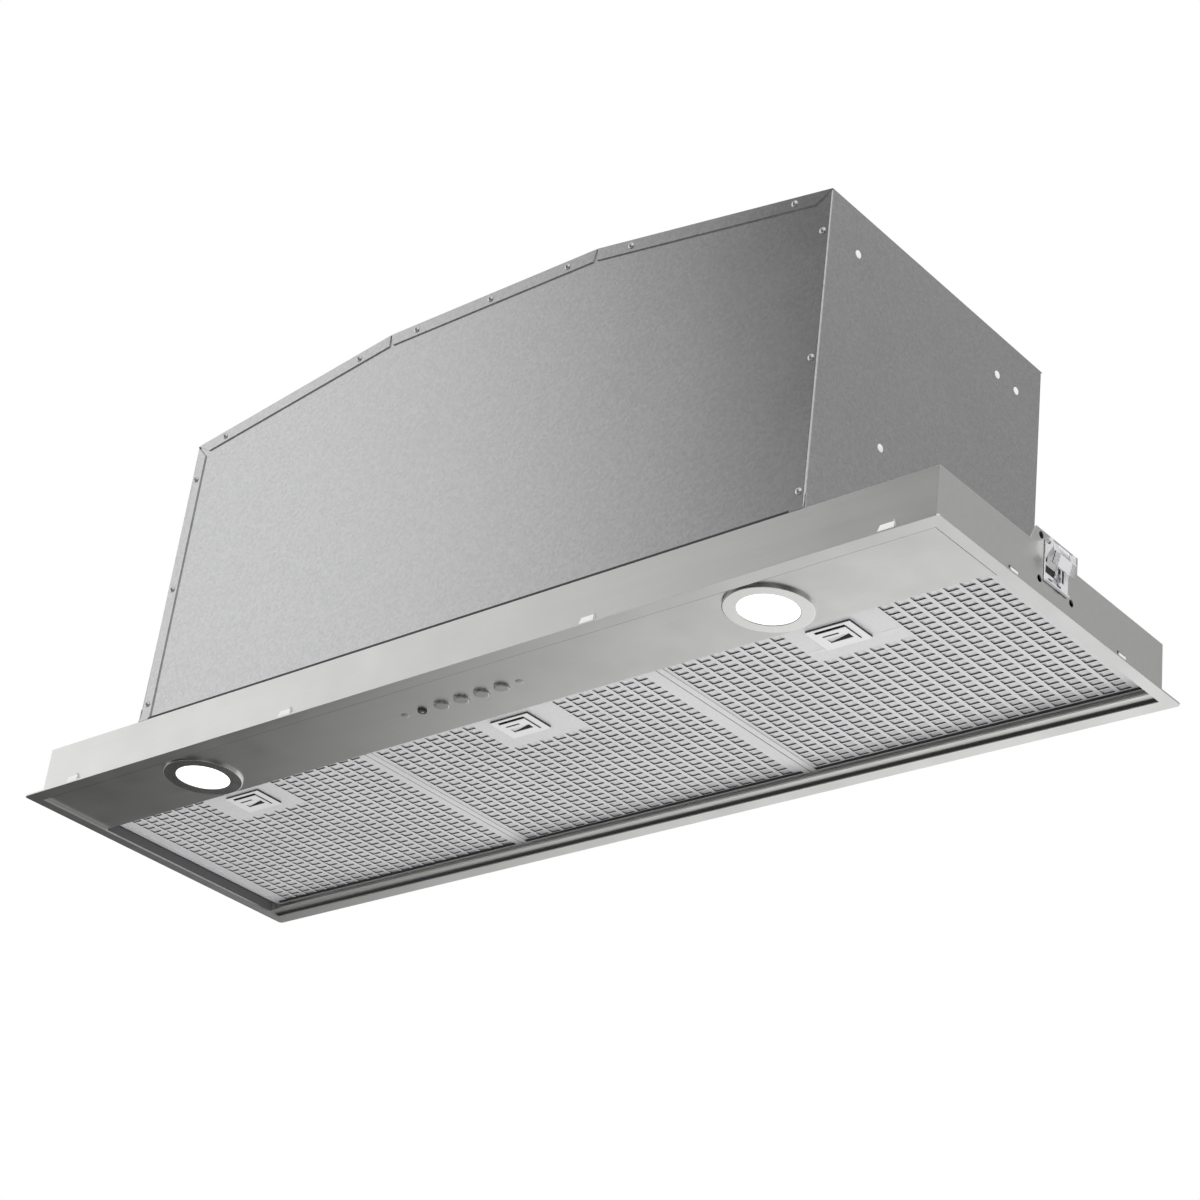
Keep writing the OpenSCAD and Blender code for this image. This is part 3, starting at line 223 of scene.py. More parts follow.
def moulded(name, colour, rough, spots=0.06, depth=0.08):
    """Moulded plastic with a spark-eroded grain."""
    s = Shader(name)
    grain = s.noise(1100, 3, 0.6)
    wear = s.noise(26, 4, 0.6)
    s.colour(s.spread(s.blend(grain, wear, 0.4), 0.35, 0.65),
             shade(colour, 1 - spots), shade(colour, 1 + spots))
    s.roughness(wear, rough - 0.06, rough + 0.08)
    s.bump(grain, 0.3, depth)
    return s.set(Metallic=0.0)


def etched_sheet(name, colour, rough, metallic, spots=0.08):
    """Etched aluminium: nearly matt, with a fine crystalline speckle."""
    s = Shader(name)
    speckle = s.noise(700, 3, 0.65)
    cloud = s.noise(12, 3)
    s.colour(s.spread(s.blend(speckle, cloud, 0.6), 0.35, 0.65),
             shade(colour, 1 - spots), shade(colour, 1 + spots))
    s.roughness(s.blend(speckle, cloud, 0.5), rough - 0.05, rough + 0.06)
    s.bump(speckle, 0.2, 0.05)
    return s.set(Metallic=metallic)


def lit_lens(name):
    """Frosted lamp lens, switched on."""
    s = Shader(name)
    grain = s.noise(500, 2)
    s.colour(s.spread(grain, 0.3, 0.7), (0.9, 0.9, 0.9), (0.96, 0.96, 0.96))
    s.roughness(grain, 0.25, 0.35)
    s.bump(grain, 0.1, 0.05)
    return s.set(Metallic=0.0, Emission_Color=(1, 1, 1, 1), Emission_Strength=1.15)


def printed_board(name):
    """Circuit board with lighter copper areas."""
    s = Shader(name)
    tracks = s.cells(260)
    s.colour(s.spread(tracks, 0.45, 0.55), (0.02, 0.11, 0.05), (0.05, 0.2, 0.09))
    s.roughness(s.noise(200, 3), 0.32, 0.45)
    s.bump(tracks, 0.2, 0.04)
    return s.set(Metallic=0.0)


MATS = {
    "frame_sheet": satin_sheet("frame_sheet", (0.738, 0.738, 0.722), 0.33),
    "galvanised_sheet": spangled_sheet("galvanised_sheet", (0.502, 0.502, 0.508), 0.2),
    "rivet_aluminium": polished("rivet_aluminium", (0.66, 0.66, 0.67), 0.3),
    "plug_white": moulded("plug_white", (0.96, 0.96, 0.955), 0.42, 0.015),
    "zinc_steel": satin_sheet("zinc_steel", (0.62, 0.63, 0.64), 0.3, 0.06, (90, 90, 90)),
    "flap_plastic": moulded("flap_plastic", (0.1, 0.102, 0.106), 0.5),
    "wheel_sheet": satin_sheet("wheel_sheet", (0.6, 0.61, 0.62), 0.35, 0.06, (200, 60, 60)),
    "motor_can": satin_sheet("motor_can", (0.28, 0.285, 0.29), 0.4, 0.06, (40, 40, 40)),
    "capacitor_white": moulded("capacitor_white", (0.78, 0.78, 0.75), 0.4, 0.03),
    "board_green": printed_board("board_green"),
    "gland_black": moulded("gland_black", (0.03, 0.03, 0.032), 0.45),
    "bezel_chrome": polished("bezel_chrome", (0.72, 0.72, 0.705), 0.2),
    "lens_white": lit_lens("lens_white"),
    "button_metal": polished("button_metal", (0.53, 0.53, 0.52), 0.28),
    # The clip's near-white diffuse share is a painted reflection, standing in for the chrome's
    # bright highlights.
    "clip_chrome": polished("clip_chrome", (0.97, 0.97, 0.985), 0.08, 0.015, 0.4),
    "filter_aluminium": etched_sheet("filter_aluminium", (0.74, 0.732, 0.74), 0.38, 0.2),
    # The near-black colour of the inner aluminium mesh is painted shade, darkening the slits of the
    # cassette faces.
    "mesh_aluminium": etched_sheet("mesh_aluminium", (0.05, 0.05, 0.05), 0.5, 0.5, 0.3),
    "latch_grey": etched_sheet("latch_grey", (0.82, 0.82, 0.82), 0.3, 0.1, 0.03),
}
SLOT_OF = {row["node"]: row["material_slot"] for row in frame["record"]["subparts"]}


# Meshes

BOX_FACES = [(3, 2, 1, 0), (4, 5, 6, 7), (0, 1, 5, 4), (1, 2, 6, 5), (2, 3, 7, 6), (3, 0, 4, 7)]


def circle(r, n):
    """The n points of a circle of radius r, anticlockwise from the x axis."""
    turns = [2 * math.pi * i / n for i in range(n)]
    return [(r * math.cos(t), r * math.sin(t)) for t in turns]


class Shape:
    """Vertices and faces in mm, which become one piece."""

    def __init__(self):
        self.v = []
        self.f = []

    def add(self, verts, faces, place=None):
        base = len(self.v)
        self.v += [place @ Vector(p) if place else Vector(p) for p in verts]
        self.f += [[base + i for i in f] for f in faces]

    def box(self, lo, hi, place=None):
        (a, b, c), (d, e, g) = lo, hi
        self.add([(x, y, z) for z in (c, g) for x, y in ((a, b), (d, b), (d, e), (a, e))],
                 BOX_FACES, place)

    def lathe(self, profile, n, place=None, loop=False):
        """Turns (radius, height) points round Z. A loop is closed and clears the axis."""
        verts, rows = [], []
        for r, h in profile:
            if r < 1e-6:
                rows.append([len(verts)] * n)
                verts.append((0, 0, h))
            else:
                rows.append(list(range(len(verts), len(verts) + n)))
                verts += [(x, y, h) for x, y in circle(r, n)]
        pairs = list(zip(rows, rows[1:])) + ([(rows[-1], rows[0])] if loop else [])
        faces = []
        for low, high in pairs:
            for i in range(n):
                quad = [low[i], low[(i + 1) % n], high[(i + 1) % n], high[i]]
                quad = [q for k, q in enumerate(quad) if q not in quad[:k]]
                if len(quad) > 2:
                    faces.append(quad)
        self.add(verts, faces, place)

    def extrude(self, outline, lo, hi, place=None):
        """A flat outline in X and Y, made solid from height lo to hi."""
        n = len(outline)
        verts = [(x, y, lo) for x, y in outline] + [(x, y, hi) for x, y in outline]
        faces = [list(range(n))[::-1], list(range(n, 2 * n))]
        faces += [[i, (i + 1) % n, n + (i + 1) % n, n + i] for i in range(n)]
        self.add(verts, faces, place)

    def piece(self, name, body, slot, stands_for=(), **finish):
        """One piece that rides on a body and replaces the nodes that it stands for."""
        mesh = bpy.data.meshes.new(name)
        mesh.from_pydata([v * MM for v in self.v], [], self.f)
        return finish_piece(name, mesh, body, slot, stands_for, **finish)


def finish_piece(name, mesh, body, slot, stands_for, bevel=0.0, angle=30, shade_angle=32,
                 recalc=True, flat=False):
    """Gives a mesh its material, shading, rounded edges and place in the assembly."""
    if recalc:
        bm = bmesh.new()
        bm.from_mesh(mesh)
        bmesh.ops.recalc_face_normals(bm, faces=bm.faces)
        bm.to_mesh(mesh)
        bm.free()
    mesh.materials.clear()
    mesh.materials.append(MATS[slot])
    if flat:
        mesh.shade_flat()
    else:
        mesh.shade_smooth()
        mesh.set_sharp_from_angle(angle=math.radians(shade_angle))
    ob = bpy.data.objects.new(name, mesh)
    bpy.context.scene.collection.objects.link(ob)
    if bevel:
        mod = ob.modifiers.new("edges", "BEVEL")
        mod.width = bevel * MM
        mod.segments = 2
        mod.limit_method = "ANGLE"
        mod.angle_limit = math.radians(angle)
        mod.use_clamp_overlap = True
        mod.harden_normals = not flat
    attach(ob, body)
    if stands_for:
        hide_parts(*stands_for)
    return ob


def at_body_corner(vert):
    """Whether a vertex lies where a side panel meets the front or back panel."""
    near = 1e-5
    return (abs(abs(vert.co.x) - BODY_X * MM) < near
            and abs(abs(vert.co.y) - BODY_Y * MM) < near)


def dressed(node, bevel, flat=True, bend=0):
    """The node's own solid with deburred edges, and its upright corners bent to radius bend."""
    mesh = NODES[node].data.copy()
    mesh.name = node + "_sheet"
    bm = bmesh.new()
    bm.from_mesh(mesh)
    bmesh.ops.remove_doubles(bm, verts=bm.verts, dist=2e-6)
    bmesh.ops.dissolve_limit(bm, angle_limit=math.radians(0.6), use_dissolve_boundaries=False,
                             verts=bm.verts, edges=bm.edges)
    if bend:
        corners = [e for e in bm.edges if abs(e.verts[0].co.z - e.verts[1].co.z) > 0.02
                   and all(at_body_corner(v) for v in e.verts)]
        bmesh.ops.bevel(bm, geom=corners, offset=bend * MM, segments=7, profile=0.5,
                        affect="EDGES", clamp_overlap=False)
    bm.to_mesh(mesh)
    bm.free()
    finish_piece(mesh.name, mesh, BODY_OF[node], SLOT_OF[node], (node,), bevel, angle=40, flat=flat)


# Filters

def filter_cells(phase):
    """Edges of the cells across and along a cassette, from its middle line."""
    dx, dy = phase
    middles = [CELL_PITCH_X * k + dx for k in range(-10, 11)]
    ends = [FIRST_CELL_END + CELL_PITCH_Y * j + dy for j in range(25)]
    across = [(x - CELL_LEFT, x + CELL_RIGHT) for x in middles]
    along = [(y - CELL_LENGTH, y) for y in ends if y > FIRST_CELL_LIMIT]
    return across, along


def pair_around(value, pairs):
    """The pair of limits that a value lies between, if there is one."""
    return next((pair for pair in pairs if pair[0] < value < pair[1]), None)


def embossed_sheet(shape, x_mid, z, depth, phase, hole=None):
    """One face of a cassette: lanced cells, open at their left and back sides.

    A hole has its x limits first. A face with a hole has a plain field round it.
    """
    across, along = filter_cells(phase)
    xs = [-FACE_X] + [x for pair in across for x in pair] + [FACE_X]
    ys = [FACE_Y[0]] + [y for pair in along for y in pair] + [FACE_Y[1]]
    if hole:
        xs = sorted(set(xs + [hole[0], hole[1]]))
        ys = sorted(set(ys + [hole[2], hole[3]]))
    index = {}

    def vert(kind, x, y, lift=0.0):
        key = (kind, round(x, 4), round(y, 4))
        if key not in index:
            index[key] = len(shape.v)
            shape.v.append(Vector((x_mid + x, y, z + lift)))
        return index[key]

    raised = set()
    for pair_x in across:
        for pair_y in along:
            (a, b), (c, d) = pair_x, pair_y
            if hole and abs((a + b) / 2) < PLATEAU_X and c < PLATEAU_Y:
                continue
            raised.add((pair_x, pair_y))
            grid = []
            for v, rise_v in RISE_ALONG:
                line = []
                for u, rise_u in RISE_ACROSS:
                    lift = depth * rise_u * rise_v
                    corner = u in (0, 1) and v in (0, 1)
                    kind = "crown" if lift else "web" if corner else "slit"
                    line.append(vert(kind, a + (b - a) * u, c + (d - c) * v, lift))
                grid.append(line)
            for low, high in zip(grid, grid[1:]):
                for i in range(len(low) - 1):
                    shape.f.append([low[i], low[i + 1], high[i + 1], high[i]])
    for x_a, x_b in zip(xs, xs[1:]):
        for y_a, y_b in zip(ys, ys[1:]):
            mid_x, mid_y = (x_a + x_b) / 2, (y_a + y_b) / 2
            if hole and hole[0] < mid_x < hole[1] and hole[2] < mid_y < hole[3]:
                continue
            if (pair_around(mid_x, across), pair_around(mid_y, along)) in raised:
                continue
            corners = ((x_a, y_a), (x_b, y_a), (x_b, y_b), (x_a, y_b))
            shape.f.append([vert("web", x, y) for x, y in corners])


def filter_face(side, number):
    """Both faces of a cassette in thin sheet, the low one with a hole for the latch."""
    shape = Shape()
    x_mid, phase = number * FILTER_PITCH, CELL_PHASE[number]
    embossed_sheet(shape, x_mid, FACE_LOW, LOW_LIFT, phase, LATCH_HOLE)
    for face in shape.f:
        face.reverse()
    embossed_sheet(shape, x_mid, FACE_HIGH, HIGH_LIFT, phase)
    ob = shape.piece("filter_emboss_" + side, "filter_" + side, "filter_aluminium",
                     ("filter_face_" + side,), shade_angle=24, recalc=False)
    for face in ob.data.polygons:
        face.use_smooth = abs(face.normal.z) < 0.9999
    mod = ob.modifiers.new("sheet", "SOLIDIFY")
    mod.thickness = 0.2 * MM
    mod.offset = -1


def pierced_plate(shape, outer, holes, lo, hi, place=None):
    """A flat plate with rectangular windows, each (x0, y0, x1, y1)."""
    xs = sorted({outer[0], outer[2], *(v for h in holes for v in (h[0], h[2]))})
    ys = sorted({outer[1], outer[3], *(v for h in holes for v in (h[1], h[3]))})

    def solid(i, j):
        if not (0 <= i < len(xs) - 1 and 0 <= j < len(ys) - 1):
            return False
        x, y = (xs[i] + xs[i + 1]) / 2, (ys[j] + ys[j + 1]) / 2
        return not any(h[0] < x < h[2] and h[1] < y < h[3] for h in holes)

    def at(i, j, k):
        return (k * len(ys) + j) * len(xs) + i

    verts = [(x, y, z) for z in (lo, hi) for y in ys for x in xs]
    faces = []
    for i in range(len(xs) - 1):
        for j in range(len(ys) - 1):
            if not solid(i, j):
                continue
            for k in (0, 1):
                faces.append((at(i, j, k), at(i + 1, j, k), at(i + 1, j + 1, k), at(i, j + 1, k)))
            for di, dj, p, q in ((-1, 0, (i, j), (i, j + 1)),
                                 (1, 0, (i + 1, j), (i + 1, j + 1)),
                                 (0, -1, (i, j), (i + 1, j)),
                                 (0, 1, (i, j + 1), (i + 1, j + 1))):
                if not solid(i + di, j + dj):
                    faces.append((at(*p, 0), at(*q, 0), at(*q, 1), at(*p, 1)))
    used = sorted({v for f in faces for v in f})
    index = {v: n for n, v in enumerate(used)}
    shape.add([verts[v] for v in used], [[index[v] for v in f] for f in faces], place)


def latch(side, number):
    """Snap-in housing on black plates that are painted shade of its gap, and a slider whose cap
    lies on it, with a finger ramp, in front of a black block that is painted shade of the window.
    """
    place = Matrix.Translation((number * FILTER_PITCH, LATCH_Y, 0))
    window = (-12.3, 2.2, 12.3, 22)
    plate_z, plate_top, gap_shade_top = 8.8, 9.3, 12.6
    plate = Shape()
    pierced_plate(plate, (-18, 0, 18, 26), [window], plate_z, plate_top, place)
    plate.piece("latch_plate_" + side, "filter_" + side, "latch_grey",
                ("latch_housing_" + side,), bevel=0.2)

    # Black plates under and round the housing: painted shade of the gap at its edges.
    gap_shade = Shape()
    pierced_plate(gap_shade, (-17.7, 0.3, 17.7, 25.7), [window], plate_top, FACE_LOW, place)
    pierced_plate(gap_shade, (-16.9, 1.1, 16.9, 24.9), [window], FACE_LOW, gap_shade_top, place)
    gap_shade.box((-16.9, 1.1, 15.6), (16.9, 24.9, 16.8), place)
    for x0, x1 in ((-16.9, -15.3), (15.3, 16.9)):
        gap_shade.box((x0, 1.1, gap_shade_top), (x1, 24.9, 15.6), place)
    gap_shade.piece("latch_gap_shade_" + side, "filter_" + side, "gland_black")

    cap = Shape()
    cap_z, thick = 7.8, 0.45
    recess = (-8.8, 10.9, 9.2, 17.4)
    groove = (-9.4, 7.5, 3.6, 9.2)
    pierced_plate(cap, (-12, 3.7, 12, 21.4), [recess, groove], cap_z, 8.25, place)
    x0, y0, x1, y1 = recess
    ramp = [(x0, y0, cap_z), (x1, y0, cap_z), (x1, y1, 12.4), (x0, y1, 8.8)]
    ramp += [(x, y, z + thick) for x, y, z in ramp]
    cap.add(ramp, BOX_FACES, place)
    cap.piece("latch_cap_" + side, "latch_" + side, "latch_grey", ("latch_slider_" + side,),
              bevel=0.16)

    # Black block behind the slider: painted shade of the window.
    window_shade = Shape()
    arm_z = 12.9
    pierced_plate(window_shade, (-11.8, 3.9, 11.8, 21.2), [recess], 8.25, 8.7, place)
    pierced_plate(window_shade, (-11.8, 3.9, 11.8, 17.7), [recess], 8.7, arm_z, place)
    window_shade.box((-15, 0, arm_z), (15, 17.7, 14.5), place)
    window_shade.box((-9, -14.2, arm_z), (9, 2.2, 15), place)
    window_shade.piece("latch_window_shade_" + side, "latch_" + side, "gland_black")


# Fasteners

def rivets():
    """Blind rivets in the flanges of the front and back."""
    shape = Shape()
    flange, inset = 10.3, 5.5
    places = [(s * (BODY_X - inset), z) for s in (-1, 1) for z in (59, 160.25, 261.5)]
    for share in (-0.73, 0, 0.73):
        places.append((share * CROWN_X, CROWN_Z - flange / 2))
    for s in (-1, 1):
        for share in (0.155, 0.85):
            x = s * (CROWN_X + share * (BODY_X - CROWN_X))
            places.append((x, CROWN_Z - ROOF_DROP * share - flange / 2))
    head = [(0, 0.25), (0.55, 0.3), (0.75, 0.6), (0.85, 1.25), (1.1, 1.4), (1.6, 1.25),
            (2.1, 0.9), (2.45, 0.5), (2.6, 0.12), (2.6, 0), (1.6, 0), (1.6, -2), (0, -2)]
    for side in (-1, 1):
        turn = Matrix.Rotation(math.radians(90 * -side), 4, "X")
        for x, z in places:
            shape.lathe(head, 20, Matrix.Translation((x, side * BODY_Y, z)) @ turn)
    shape.piece("rivet_heads", "hood", "rivet_aluminium", ("body_rivets",), shade_angle=40)


def pan_head(shape, place):
    """Pan head with a cross recess."""
    n, crown_r, crown_h, top_h, recess_h = 32, 2.1, 1.92, 2.0, 0.9
    dome = [(3.5, 0.0), (3.5, 0.9), (3.3, 1.35), (2.8, 1.7), (crown_r, crown_h)]
    shape.lathe([(0, -4), (1.55, -4), (1.75, -3.7), (1.75, 0)] + dome, n, place)
    rim = [(x, y, crown_h) for x, y in circle(crown_r, n)]
    arm, reach = 0.38, 1.75
    cross = []
    for q in range(4):
        turn = Matrix.Rotation(math.pi / 2 * q, 2)
        for p in ((reach, -arm), (reach, arm), (arm, arm)):
            cross.append(turn @ Vector(p))
    top = [(p[0], p[1], top_h) for p in cross]
    floor = [(p[0] * 0.55, p[1] * 0.8, recess_h) for p in cross]
    m = len(cross)
    faces = [[n + m + i for i in range(m)]]
    faces += [[n + i, n + (i + 1) % m, n + m + (i + 1) % m, n + m + i] for i in range(m)]

    def nearest(i):
        """The corner of the cross nearest in angle to a point of the rim, outer ones first."""
        ray = Vector(rim[i][:2]).normalized()
        return min(range(m), key=lambda k: cross[k].angle_signed(ray) ** 2
                   + (0.02 if cross[k].length < 1 else 0))

    for i in range(n):
        k, last = nearest(i), nearest((i + 1) % n)
        faces.append([i, (i + 1) % n, n + k])
        while k != last:
            faces.append([(i + 1) % n, n + (k + 1) % m, n + k])
            k = (k + 1) % m
    shape.add(rim + top + floor, faces, place)


def screws():
    """Screws of the duct collar, the blower's hangers on the crown and the clip brackets."""
    shape = Shape()
    collar_r, collar_z = 82.5, 328.7
    for a in range(45, 360, 90):
        t = math.radians(a)
        spot = Matrix.Translation((collar_r * math.cos(t), collar_r * math.sin(t), collar_z))
        pan_head(shape, spot @ Matrix.Rotation(t * 1.7, 4, "Z"))
    for sx in (-1, 1):
        for sy in (-1, 1):
            spot = Matrix.Translation((sx * 80.5, sy * 78, CROWN_Z))
            pan_head(shape, spot @ Matrix.Rotation(0.4 + sx + sy * 0.3, 4, "Z"))
    for sx in (-1, 1):
        spot = Matrix.Translation((sx * (WALL_X + 1), CLIP_Y, 28))
        outward = Matrix.Rotation(math.radians(90 * sx), 4, "Y")
        pan_head(shape, spot @ outward @ Matrix.Rotation(0.5, 4, "Z"))
    shape.piece("pan_head_screws", "hood", "zinc_steel", ("sheet_screws",), shade_angle=40)


def plugs():
    """White snap plugs in the holes of the side panels."""
    shape = Shape()
    head = [(0, 0.6), (1.5, 0.58), (2.5, 0.45), (2.9, 0.25), (3.0, 0.05), (3.0, 0), (2.4, 0),
            (2.45, -1.0), (0, -1.0)]
    for side in (-1, 1):
        outward = Matrix.Rotation(math.radians(90 * side), 4, "Y")
        for sy, sz in ((-0.744, 0.864), (0.564, 0.864), (0.752, 0.864), (-0.433, 0.339)):
            spot = (side * BODY_X, sy * BODY_Y, FRAME_TOP + sz * PANEL_RISE)
            shape.lathe(head, 28, Matrix.Translation(spot) @ outward)
    shape.piece("snap_plugs", "hood", "plug_white", ("hole_plugs",), shade_angle=40)


def tongues():
    """White covers over the locating tongues, their white a painted highlight of the tongues'
    bright faces; those at the sides with a black plate above, painted shade of a slot.
    """
    highlight_cover, slot = Shape(), Shape()
    upright = Matrix.Rotation(math.radians(90), 4, "X")
    for share in (-0.914, -0.344, 0.344, 0.914):
        # White covers: painted highlight of the tongues' bright faces.
        place = Matrix.Translation((share * WALL_X, -WALL_Y, 8.5)) @ upright
        highlight_cover.extrude([(-6.8, 0), (5.9, 0), (5.9, 4.3), (-4.6, 4.3)], -0.1, 1.4, place)
    for side in (-1, 1):
        outward = Matrix.Rotation(math.radians(90 * side), 4, "Z") @ upright
        for share in (-0.37, 0.605):
            place = Matrix.Translation((side * WALL_X, share * WALL_Y, 9)) @ outward
            highlight_cover.extrude([(-3.9, 0), (3.9, 0), (3.9, 2.7), (-3.9, 2.7)], -0.1, 1.4, place)
            # Black plates above the side tongues: painted shade of their slots.
            slot.extrude([(-4.4, 0.3), (4.4, 0.3), (4.4, 4.2), (-4.4, 4.2)], -0.1, 0.25, place)
    highlight_cover.piece("tongue_highlight_covers", "hood", "plug_white", bevel=0.25)
    slot.piece("tongue_slot_shades", "hood", "gland_black")


def painted_shade_strips():
    """Black strips as painted shade: in the joint under the body, along the front and right end of
    the strip, and along the rear rail and its ledge. Dark sheets as painted shade on the inner end
    walls, and black strips as painted shade behind the cassettes.
    """
    # Black strips in the joints are painted shade of their gaps.
    shape = Shape()
    long_x, shade_strip_y = 419.9, 127.78
    for side in (-1, 1):
        y0, y1 = sorted((side * 126.9, side * 128.5))
        shape.box((-306.8, y0, FRAME_TOP), (306.8, y1, 46.3))                 # under the body
    shape.box((-long_x, -shade_strip_y, 1.15), (long_x, -127.4, 3.2))                # front of the strip
    shape.box((419.5, -shade_strip_y, 1.15), (END_X, -62.2, 3.25))                   # its right end
    shape.box((-long_x, 127.3, 1.9), (long_x, shade_strip_y, 3.28))                  # rear rail
    shape.box((-418.5, 122.85, 8.72), (418.5, 126.7, 8.93))                   # its ledge
    shape.piece("joint_shade_strips", "hood", "gland_black")
    # Dark sheets on the inner end walls are painted shade.
    end_shades = Shape()
    for side in (-1, 1):
        x0, x1 = sorted((side * END_X, side * 419.7))
        end_shades.box((x0, -61.5, 2.3), (x1, 118.3, 9.6))
    end_shades.piece("end_wall_shades", "hood", "flap_plastic", bevel=0.1)
    for number, side in enumerate(SIDES):
        # Black strips behind the cassettes' faces are painted shade of the gap at the rail.
        strip = Shape()
        x_mid, half = (number - 1) * FILTER_PITCH, 134.2
        strip.box((x_mid - half, 119.3, 10.03), (x_mid + half, 121.75, 10.6))
        strip.piece("filter_shade_strip_" + side, "filter_" + side, "gland_black")


# Lamps and buttons

def lamps():
    """A flat-faced ring with a short outer wall, and a lens set into it."""
    face_z, ring_r, neck_r, neck_end, tab = 1.3, 30.05, 26.05, 12.3, 5
    ring = [(20.5, 2.3), (20.5, 1.7), (20.55, 1.45), (20.7, 1.33), (20.9, face_z),
            (21.3, face_z), (29.2, face_z), (29.6, face_z), (29.85, 1.35), (30.0, 1.47),
            (ring_r, 1.65), (ring_r, 2.0), (ring_r, 3.2), (ring_r, STRIP_Z), (neck_r, STRIP_Z),
            (neck_r, neck_end), (24.05, neck_end), (24.05, 2.3)]
    lens = [(0, 1.8), (8, 1.82), (14, 1.88), (18, 1.96), (20.0, 2.06), (21, 2.2), (24.0, 2.32),
            (24.0, 3.9), (0, 3.9)]
    for side, sx in (("left", -1), ("right", 1)):
        place = Matrix.Translation((sx * LAMP_X, STRIP_MID, 0))
        shape = Shape()
        shape.lathe(ring, 96, place, loop=True)
        for t in (0, math.pi):
            shape.box((neck_r - 1, -tab, 4.6), (neck_r + 2, tab, 7.1),
                      place @ Matrix.Rotation(t, 4, "Z"))
        shape.piece("lamp_ring_" + side, "hood", "bezel_chrome", ("lamp_bezel_" + side,),
                    shade_angle=50)
        shape = Shape()
        shape.lathe(lens, 96, place)
        shape.piece("lamp_glass_" + side, "hood", "lens_white", ("lamp_lens_" + side,),
                    shade_angle=50)


def buttons():
    """Flat caps with a flush washer round each, and the marks of two weld studs beside them."""
    bushes, marks = Shape(), Shape()
    cap_share, face_z, flange_z, flange_top, stem_end = 0.79, 1.84, 4.6, 5.6, 13.8
    for name, x, d in BUTTONS:
        r, hole_r = d / 2 * cap_share, d / 2
        place = Matrix.Translation((x, STRIP_MID, 0))
        cap = [(0, face_z), (r * 0.5, face_z), (r * 0.86, 1.83), (r * 0.92, face_z),
               (r * 0.965, 1.9), (r * 0.99, 2.0), (r, 2.15), (r, flange_z), (hole_r + 1, flange_z),
               (hole_r + 1, flange_top), (2.5, flange_top), (2.5, 13.5), (2.2, stem_end),
               (0, stem_end)]
        shape = Shape()
        shape.lathe(cap, 64, place)
        if name == "power_button":
            shape.piece(name + "_cap", name, "gland_black", (name,), shade_angle=35)
            eye = Shape()
            eye.lathe([(0, 1.8), (1.0, 1.8), (1.3, 1.82), (1.45, 1.9), (1.45, 2.1), (0, 2.1)],
                      32, place)
            eye.piece(name + "_eye", name, "button_metal", shade_angle=35)
        else:
            shape.piece(name + "_cap", name, "button_metal", (name,), shade_angle=35)
        inner = r + 0.2
        bushes.lathe([(inner, 3.35), (r + 0.25, 3.26), (hole_r + 0.6, 3.26),
                      (hole_r + 0.65, STRIP_Z), (hole_r, STRIP_Z), (hole_r, 4.2), (inner, 4.2)],
                     64, place, loop=True)
    for side in (-1, 1):
        place = Matrix.Translation((side * STUD_X, STRIP_MID, 0))
        marks.lathe([(0, 3.22), (1.6, 3.22), (2.6, 3.25), (3.0, STRIP_Z), (3.0, 3.6), (0, 3.6)],
                    40, place)
    bushes.piece("button_bushes", "hood", "frame_sheet", shade_angle=35)
    marks.piece("stud_marks", "hood", "button_metal", shade_angle=35)


# Spring clips

def bent_strip(points, thick):
    """Outline of a strip of even thickness along points, which run down its outer face."""
    outline = []
    for k, (x, z) in enumerate(points):
        a, b = points[max(0, k - 1)], points[min(len(points) - 1, k + 1)]
        run = Vector((b[0] - a[0], b[1] - a[1])).normalized()
        outline.append((x + run.y * thick, z - run.x * thick))
    return list(points) + outline[::-1]


